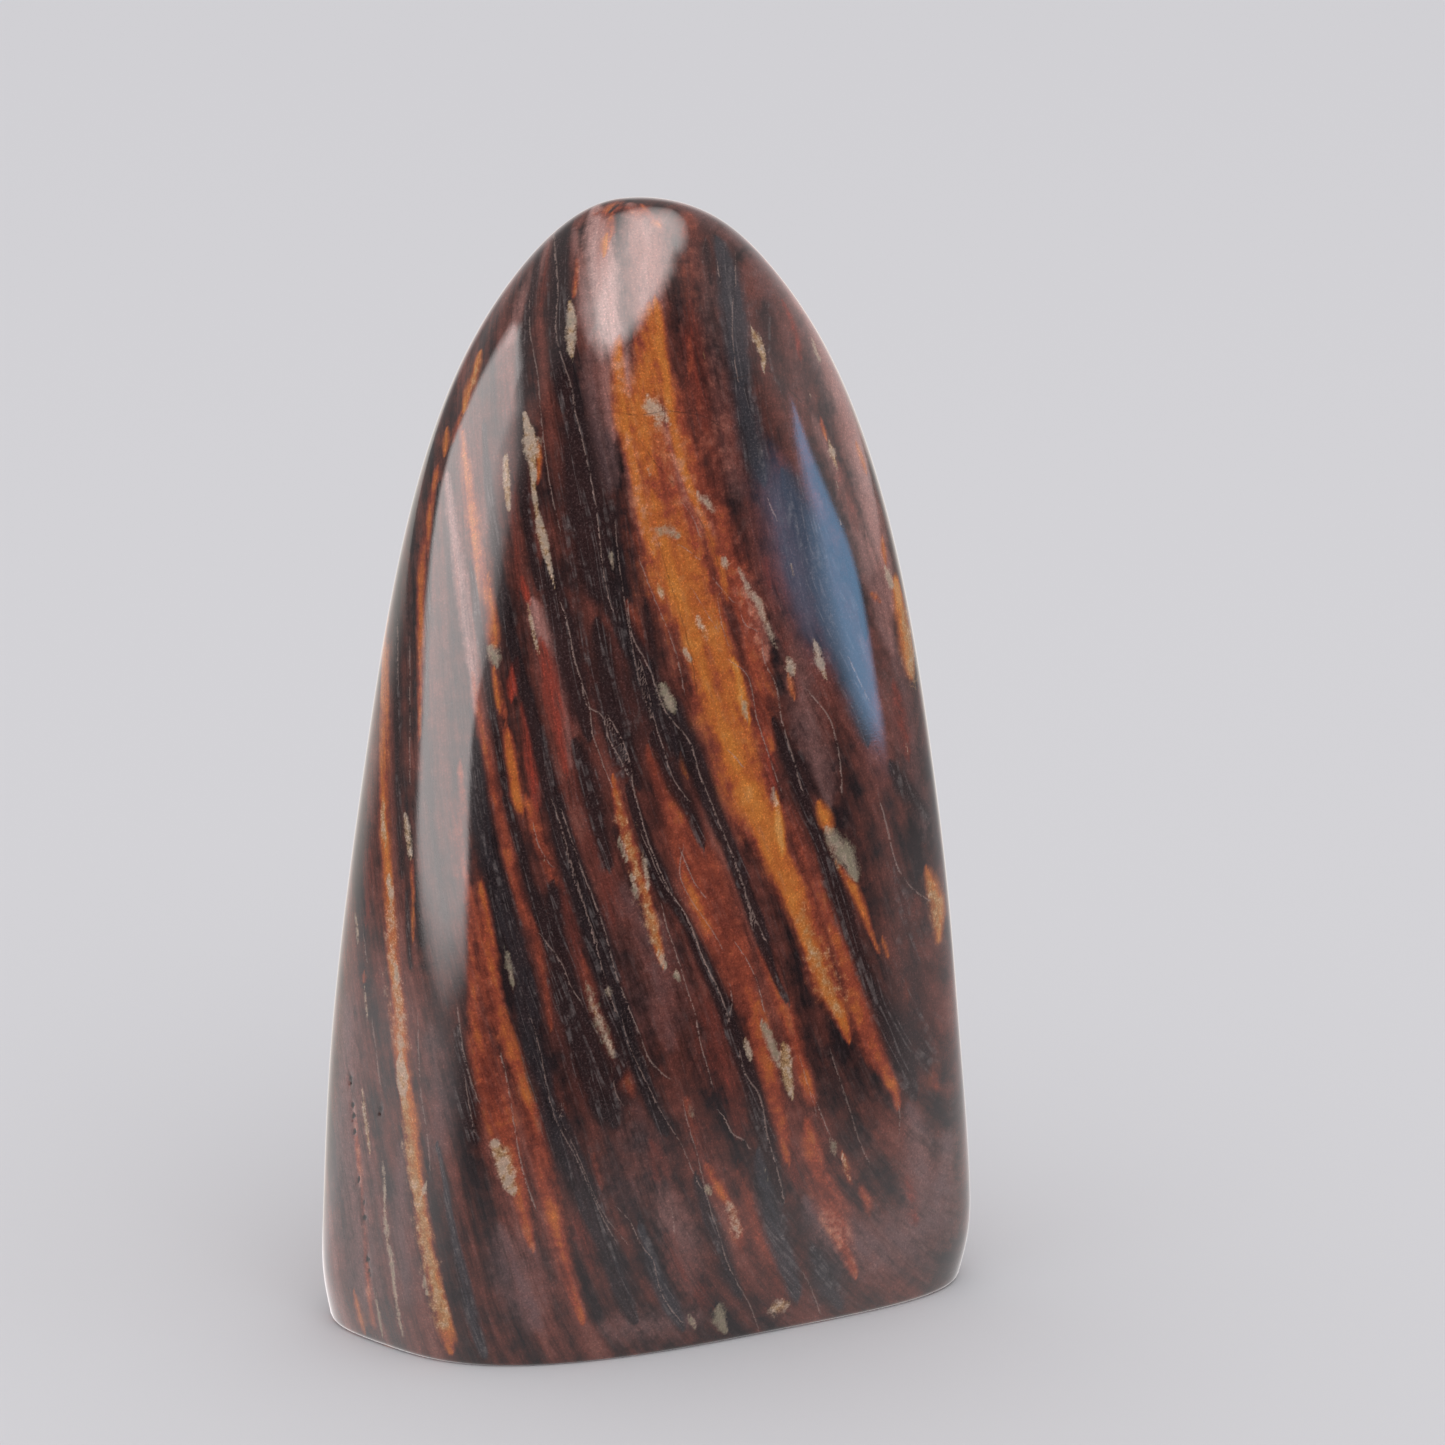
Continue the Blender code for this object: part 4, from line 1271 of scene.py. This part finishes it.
def band_colour(graph, band, shade):
    return graph.ramp(graph.stirred(shade, **band.stir), band.colours)


def band_layer(graph, kind, band, under):
    """A kind of band with the plain colours of its shades. Its cover comes back as well."""
    cover, _, shade = read_band(graph, kind, band)
    return graph.mix(graph.scaled(cover, band.hides), under, band_colour(graph, band, shade)), cover


def warm_layer(graph, under, wash_and_sheen):
    """Brick to yellow bands, redder at their edges, pink-mottled most where washes and painted sheen lie."""
    cover, frayed, shade = read_band(graph, "warm", WARM_BAND)
    heart = graph.scaled(graph.step(frayed, *WARM_HEART), WARM_HEART_ADDS, WARM_EDGE_SHARE)
    colour = band_colour(graph, WARM_BAND, graph.product(shade, heart))
    bloom = graph.step(graph.stirred(0.5, mottle=0.6, blotch=0.4), *BLOOM_STEP)
    bloom = graph.product(bloom, graph.scaled(wash_and_sheen, BLOOM_WASHED, BLOOM_ALONE))
    colour = graph.mix(bloom, colour, BLOOM_COLOUR)
    return graph.mix(graph.scaled(cover, WARM_BAND.hides), under, colour), cover


def dark_layer(graph, under):
    """Hematite: near black, with grey dust."""
    cover, _, shade = read_band(graph, "dark", DARK_BAND)
    dust = graph.scaled(graph.step(graph.patterns["grain"], *DUST_STEP), DUST_SHARE)
    colour = graph.mix(dust, band_colour(graph, DARK_BAND, shade), DUST_COLOUR)
    return graph.mix(graph.scaled(cover, DARK_BAND.hides), under, colour), cover


def thread_layer(graph, under, warm):
    """Thin dark threads along the bedding, fainter over the warm bands."""
    threads = graph.step(graph.stirred(0.5, fine=0.6, fibre=0.4), *THREAD_STEP)
    share = graph.product(threads, graph.scaled(warm, -THREAD_FAINTER, THREAD_SHARE))
    return graph.tint(share, under, THREAD_TINT)


def strand_layer(graph, under, dark):
    """Thin grey strands along the bedding, strongest in the dark bands."""
    off = graph.math("ABSOLUTE", graph.stirred(0.0, strand=1.0))
    broken = graph.step(graph.patterns["mottle"], *STRAND_BREAKS)
    strength = graph.scaled(dark, STRAND_STRONGER, STRAND_SHARE)
    return graph.mix(graph.product(graph.step(off, *STRAND_STEP), broken, strength), under, STRAND_COLOUR)


def line_layer(graph, under, name, colour, share):
    """Hair lines, dotted where the noise breaks them."""
    side, power = graph.pair(name)
    off = graph.math("ABSOLUTE", graph.stirred(side, mottle=3.0, grain=2.0))
    broken = graph.step(graph.stirred(graph.patterns["mottle"], grain=0.5), *LINE_BREAKS)
    seen = graph.product(graph.step(off, *LINE_EDGE), power, graph.scaled(broken, share))
    return graph.mix(seen, under, colour)


def speckle_layer(graph, under):
    """Fine crystal grain: small lighter and darker specks all over."""
    for tint, step in ((LIGHT_TINT, LIGHT_STEP), (SHADOW_TINT, SHADOW_STEP)):
        specks = graph.step(graph.patterns["grain"], *step)
        under = graph.tint(graph.scaled(specks, SPECK_SHARE), under, tint)
    return under


# Paints the pits near black: painted shade in their hollows
def pit_shade_layer(graph, under):
    depth, _ = graph.pair("pit")
    return graph.mix(graph.step(depth, *PIT_STEP), under, PIT_SHADE_COLOUR)


def jasper_colour(graph):
    """The stone's layers, one over the other. The cover of the pale lenses comes back as well."""
    colour = ground_colour(graph)
    colour, wash_and_sheen = band_layer(graph, "wash_and_sheen", WASH_AND_SHEEN_BAND, colour)
    colour, _ = band_layer(graph, "red", RED_BAND, colour)
    colour, warm = warm_layer(graph, colour, wash_and_sheen)
    colour, dark = dark_layer(graph, colour)
    colour = thread_layer(graph, colour, warm)
    colour, pale = band_layer(graph, "pale", PALE_BAND, colour)
    colour = strand_layer(graph, colour, dark)
    colour = line_layer(graph, colour, "vein_a", VEIN_COLOUR, VEIN_SHARE)
    colour = line_layer(graph, colour, "vein_b", VEIN_COLOUR, VEIN_SHARE)
    colour = line_layer(graph, colour, "crack", CRACK_COLOUR, CRACK_SHARE)
    return pit_shade_layer(graph, speckle_layer(graph, colour)), pale


def jasper_material():
    """Polished banded jasper."""
    material = bpy.data.materials.new("polished_jasper")
    material.use_nodes = True
    tree = material.node_tree
    graph = StoneGraph(tree)
    shader = tree.nodes["Principled BSDF"]
    colour, pale = jasper_colour(graph)
    grainy = graph.scaled(graph.patterns["grain"], GRAIN_ROUGHNESS, ROUGHNESS)
    roughness = graph.math("ADD", graph.scaled(pale, PALE_ROUGHNESS), grainy)
    bump = graph.add("ShaderNodeBump", RELIEF_STRENGTH, RELIEF_HEIGHT)
    tree.links.new(graph.stirred(0.5, fine=0.5, grain=0.5), bump.inputs["Height"])
    tree.links.new(colour, shader.inputs["Base Color"])
    tree.links.new(roughness, shader.inputs["Roughness"])
    tree.links.new(bump.outputs[0], shader.inputs["Normal"])
    shader.inputs["IOR"].default_value = REFRACTION
    return material


# The stone


def write_vectors(mesh, name, values):
    layer = mesh.attributes.new(name, "FLOAT_VECTOR", "POINT")
    layer.data.foreach_set("vector", np.ascontiguousarray(values, np.float32).ravel())


def write_markings(mesh, stone):
    """Turn the strokes and sheets into the attributes that the material reads."""
    beds = bedding(stone.points)
    hidden = hidden_share(stone)
    fields = {}
    strokes = (("warm", WARM), ("red", RED), ("dark", DARK), ("pale", PALE), ("wash_and_sheen", WASH_AND_SHEEN))
    for kind, listed in strokes:
        fields[kind] = Field(len(stone.points))
        for crispness, shade, *marks in listed:
            fields[kind].add_stroke(stone, crispness, shade, marks)
    add_sheets(fields, beds, hidden)
    add_lenses(fields, beds, hidden)
    for kind, field in fields.items():
        write_vectors(mesh, kind, field.values())
    write_vectors(mesh, "bedding", beds)
    write_vectors(mesh, "vein_a", hair_lines(stone, VEINS[0::2]))
    write_vectors(mesh, "vein_b", hair_lines(stone, VEINS[1::2]))
    write_vectors(mesh, "crack", hair_lines(stone, CRACKS))


def sink_pits(mesh, stone):
    """Press the small pits into the mesh, and mark them for the material, which paints shade into them."""
    pitted = pit_depths(stone)
    sunk = stone.points - PIT_DEPTH * pitted[:, None] * stone.normals
    mesh.vertices.foreach_set("co", (sunk * MM).astype(np.float32).ravel())
    mesh.update()
    write_vectors(mesh, "pit", vectors(pitted, np.zeros(len(pitted))))


def make_stone():
    """The piece that stands for the solid, and its surface for the rays."""
    mesh = stone_mesh()
    stone = Stone(mesh)
    write_markings(mesh, stone)
    sink_pits(mesh, stone)
    mesh.materials.append(jasper_material())
    piece = bpy.data.objects.new("jasper_stone", mesh)
    bpy.context.scene.collection.objects.link(piece)
    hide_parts("jasper")
    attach(piece, "root")
    return stone


# Floor and light

FLOOR_HALF = 4.0
FLOOR_COLOUR = (0.66, 0.66, 0.675, 1.0)
FLOOR_ROUGHNESS = 0.9

# The world's even light on everything but the stone's polish
EVEN_LIGHT = (0.94, 0.93, 0.95, 1.0)

# A large soft lamp above the front
LAMP_SIZE = 0.8
LAMP_POWER = 2.0
LAMP_PLACE = (-0.3, -0.8, 1.1)

# What the stone's polish sees. The floor is pale close to the stone, brighter close by on its right, brighter
# still on its left, dim further out and bright again behind. Above the horizon the room is pale, dimmer
# overhead, and dim low down on the left. In front of the stone all is dark, though less so overhead.
NEAR_FLOOR = (0.66, 0.64, 0.65, 1.0)
RIGHT_FLOOR = (1.10, 1.06, 1.06, 1.0)
LEFT_FLOOR = (1.75, 1.65, 1.65, 1.0)
BACK_FLOOR = (1.25, 1.18, 1.12, 1.0)
PALE_ROOM = (1.05, 0.97, 0.97, 1.0)
CEILING = (0.45, 0.43, 0.43, 1.0)
DARK_ROOM = (0.05, 0.05, 0.052, 1.0)
DIM_ROOM = (0.36, 0.34, 0.34, 1.0)

# Where each of these lies: its middle azimuth, and the cosines of the angles where it begins and is full
RIGHT_SIDE = (75.0, 0.35, 0.85)
LEFT_SIDE = (-118.0, 0.55, 0.95)
DARK_SIDE = (-12.0, 0.50, 0.74)
DIM_SIDE = (-130.0, 0.45, 0.75)
BACK_SIDE = (165.0, 0.45, 0.80)

# The distances from the stone over which the floor's dark and dim parts set in and its right part ends
DARK_FADE = (0.050, 0.140)
RIGHT_END = (0.160, 0.060)
DIM_FADE = (0.180, 0.480)

# The sines of the elevations over which the ceiling sets in, and over which the dim and dark parts end
CEILING_RISE = (0.20, 0.55)
DIM_END = (0.40, 0.12)
DARK_END = (0.75, 0.45)
DARK_OVERHEAD = 0.4

# Lit windows that show in the polish: name, distance, brightness, colour, and two rings of corners, which are
# the pixels of the photograph where the stone mirrors them. The light is full inside the first ring and fades
# out at the second.
WINDOW_CENTRE = (0.0, 0.0, 0.060)
WINDOWS = (
    ("window_left", 0.30, 5.8, (1.0, 0.93, 0.92),
     ((514, 328), (487, 372), (464, 421), (452, 451), (442, 491), (434, 541), (429, 591), (425, 650),
      (423, 730), (420, 820), (424, 870), (432, 900), (447, 915), (462, 900), (466, 860), (467, 800),
      (468, 755), (474, 700), (478, 640), (480, 580), (486, 520), (494, 460), (510, 410), (518, 370),
      (518, 335)),
     ((512, 320), (484, 368), (461, 419), (449, 449), (439, 489), (431, 539), (426, 589), (422, 650),
      (419, 730), (415, 820), (417, 900), (424, 960), (445, 1015), (468, 990), (470, 900), (471, 800),
      (473, 745), (480, 690), (492, 640), (502, 580), (512, 520), (522, 460), (526, 410), (525, 365),
      (522, 322))),
    ("window_above", 1.2, 6.5, (1.0, 0.94, 0.92),
     ((600, 338), (612, 342), (627, 328), (643, 305), (655, 287), (666, 266), (674, 246), (676, 234),
      (672, 226), (664, 220), (652, 218), (642, 222), (632, 236), (622, 256), (610, 284), (600, 308),
      (596, 326)),
     ((602, 366), (614, 352), (634, 340), (651, 315), (664, 297), (676, 275), (686, 252), (689, 232),
      (683, 216), (670, 208), (652, 206), (626, 210), (602, 220), (586, 240), (578, 272), (576, 310),
      (584, 345))),
    ("window_blue", 0.45, 1.75, (1.0, 1.85, 2.95),
     ((793, 404), (797, 420), (809, 455), (821, 485), (834, 515), (845, 541), (855, 575), (862, 610),
      (868, 650), (873, 690), (877, 712), (876, 724), (869, 712), (861, 690), (853, 660), (845, 630),
      (838, 600), (832, 570), (827, 545), (820, 515), (810, 480), (799, 440)),
     ((790, 394), (800, 418), (813, 453), (826, 483), (838, 513), (849, 539), (859, 573), (866, 608),
      (873, 649), (879, 689), (886, 722), (886, 752), (866, 742), (850, 715), (836, 680), (824, 645),
      (815, 610), (809, 580), (806, 550), (803, 520), (800, 485), (793, 440))),
    ("window_glow", 0.46, 0.55, (1.0, 1.6, 2.6),
     ((775, 470), (798, 505), (810, 550), (820, 600), (824, 640), (806, 610), (790, 570), (776, 520)),
     ((765, 430), (800, 470), (824, 530), (838, 600), (842, 690), (800, 660), (755, 580), (740, 480))),
)


def side_share(graph, toward, azimuth, begins, full):
    """How far a direction lies towards an azimuth from the front, in degrees, from 0 to 1."""
    turn = math.radians(azimuth)
    middle = (math.sin(turn), -math.cos(turn), 0.0)
    cosine = graph.add("ShaderNodeVectorMath", toward, middle, operation="DOT_PRODUCT").outputs["Value"]
    return graph.step(cosine, begins, full)


def darkened(graph, toward, pale, share):
    """The room's colour in a direction, where the share says how much of the dark in front to let through."""
    return graph.mix(graph.product(share, side_share(graph, toward, *DARK_SIDE)), pale, DARK_ROOM)


def mirrored_floor(graph):
    """The floor's colour as the stone's polish sees it."""
    place = graph.add("ShaderNodeTexCoord").outputs["Object"]
    distance = graph.add("ShaderNodeVectorMath", place, operation="LENGTH").outputs["Value"]
    toward = graph.add("ShaderNodeVectorMath", place, operation="NORMALIZE").outputs[0]
    right = graph.product(side_share(graph, toward, *RIGHT_SIDE), graph.step(distance, *RIGHT_END))
    pale = graph.mix(right, NEAR_FLOOR, RIGHT_FLOOR)
    pale = graph.mix(side_share(graph, toward, *LEFT_SIDE), pale, LEFT_FLOOR)
    pale = graph.mix(graph.step(distance, *DIM_FADE), pale, DIM_ROOM)
    pale = graph.mix(side_share(graph, toward, *BACK_SIDE), pale, BACK_FLOOR)
    return darkened(graph, toward, pale, graph.step(distance, *DARK_FADE))


def floor_material():
    """Matt and pale, with its own look in the stone's polish."""
    material = bpy.data.materials.new("pale_floor")
    material.use_nodes = True
    tree = material.node_tree
    graph = Graph(tree)
    shader = tree.nodes["Principled BSDF"]
    shader.inputs["Base Color"].default_value = FLOOR_COLOUR
    shader.inputs["Roughness"].default_value = FLOOR_ROUGHNESS
    shader.inputs["Specular IOR Level"].default_value = 0.0
    glow = graph.add("ShaderNodeEmission", mirrored_floor(graph))
    polish = graph.add("ShaderNodeLightPath").outputs["Is Glossy Ray"]
    seen = graph.add("ShaderNodeMixShader", polish, shader.outputs[0], glow.outputs[0])
    tree.links.new(seen.outputs[0], tree.nodes["Material Output"].inputs["Surface"])
    return material


def make_floor():
    """A pale level floor."""
    half = FLOOR_HALF
    mesh = bpy.data.meshes.new("floor")
    corners = [(-half, -half, 0), (half, -half, 0), (half, half, 0), (-half, half, 0)]
    mesh.from_pydata(corners, [], [(0, 1, 2, 3)])
    mesh.materials.append(floor_material())
    floor = bpy.data.objects.new("floor", mesh)
    bpy.context.scene.collection.objects.link(floor)


def window_material(name, brightness, colour):
    """Light by the share written on the corners, and clear where it is 0."""
    material = bpy.data.materials.new(name)
    material.use_nodes = True
    tree = material.node_tree
    tree.nodes.remove(tree.nodes["Principled BSDF"])
    graph = Graph(tree)
    share = graph.add("ShaderNodeAttribute", attribute_name="lit").outputs["Fac"]
    glow = graph.add("ShaderNodeEmission", (*colour, 1.0), brightness)
    clear = graph.add("ShaderNodeBsdfTransparent")
    pane = graph.add("ShaderNodeMixShader", share, clear.outputs[0], glow.outputs[0])
    tree.links.new(pane.outputs[0], tree.nodes["Material Output"].inputs["Surface"])
    return material


def window_corner(stone, pixel, distance):
    """Where the ray of a pixel, mirrored by the stone, reaches a distance from the windows' centre."""
    point, ray = stone.mirrored(*pixel)
    offset = point * MM - WINDOW_CENTRE
    along = offset @ ray
    return point * MM + ray * (math.sqrt(along**2 - offset @ offset + distance**2) - along)


def make_window(stone, name, distance, brightness, colour, full, faded):
    """A lit pane with a soft rim, which shows in the stone's polish alone."""
    count = len(full)
    points = [window_corner(stone, pixel, distance) for pixel in (*full, *faded)]
    faces = [tuple(range(count))]
    for i in range(count):
        j = (i + 1) % count
        faces.append((i, count + i, count + j, j))
    mesh = bpy.data.meshes.new(name)
    mesh.from_pydata(points, [], faces)
    lit = mesh.attributes.new("lit", "FLOAT", "POINT")
    lit.data.foreach_set("value", [1.0] * count + [0.0] * count)
    mesh.materials.append(window_material(name, brightness, colour))
    pane = bpy.data.objects.new(name, mesh)
    pane.visible_camera = False
    pane.visible_diffuse = False
    pane.visible_shadow = False
    bpy.context.scene.collection.objects.link(pane)


def make_world():
    """Soft even light for everything, and for the stone's polish a pale room that is dark in front."""
    world = bpy.data.worlds.new("room")
    world.use_nodes = True
    bpy.context.scene.world = world
    graph = Graph(world.node_tree)
    toward = graph.add("ShaderNodeTexCoord").outputs["Generated"]
    height = graph.add("ShaderNodeSeparateXYZ", toward).outputs[2]
    pale = graph.mix(graph.step(height, *CEILING_RISE), PALE_ROOM, CEILING)
    dim = graph.product(graph.step(height, *DIM_END), side_share(graph, toward, *DIM_SIDE))
    dark = graph.scaled(graph.step(height, *DARK_END), 1.0 - DARK_OVERHEAD, DARK_OVERHEAD)
    room = darkened(graph, toward, graph.mix(dim, pale, DIM_ROOM), dark)
    polish = graph.add("ShaderNodeLightPath").outputs["Is Glossy Ray"]
    colour = graph.mix(polish, EVEN_LIGHT, room)
    world.node_tree.links.new(colour, world.node_tree.nodes["Background"].inputs["Color"])


def make_lamp():
    """A lamp that the polish doesn't show."""
    light = bpy.data.lights.new("lamp", "AREA")
    light.size = LAMP_SIZE
    light.energy = LAMP_POWER
    lamp = bpy.data.objects.new("lamp", light)
    lamp.location = LAMP_PLACE
    lamp.rotation_euler = (-lamp.location).to_track_quat("-Z", "Y").to_euler()
    lamp.visible_glossy = False
    bpy.context.scene.collection.objects.link(lamp)


def main():
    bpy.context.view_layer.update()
    bpy.context.scene.view_settings.view_transform = "Standard"
    make_camera()
    stone = make_stone()
    make_floor()
    for window in WINDOWS:
        make_window(stone, *window)
    make_world()
    make_lamp()


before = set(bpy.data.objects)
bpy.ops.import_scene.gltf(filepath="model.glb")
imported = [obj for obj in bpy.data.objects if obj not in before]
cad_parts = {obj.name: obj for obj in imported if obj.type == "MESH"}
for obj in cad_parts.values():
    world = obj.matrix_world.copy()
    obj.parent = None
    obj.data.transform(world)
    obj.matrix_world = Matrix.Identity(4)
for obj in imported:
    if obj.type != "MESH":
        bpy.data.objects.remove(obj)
main()
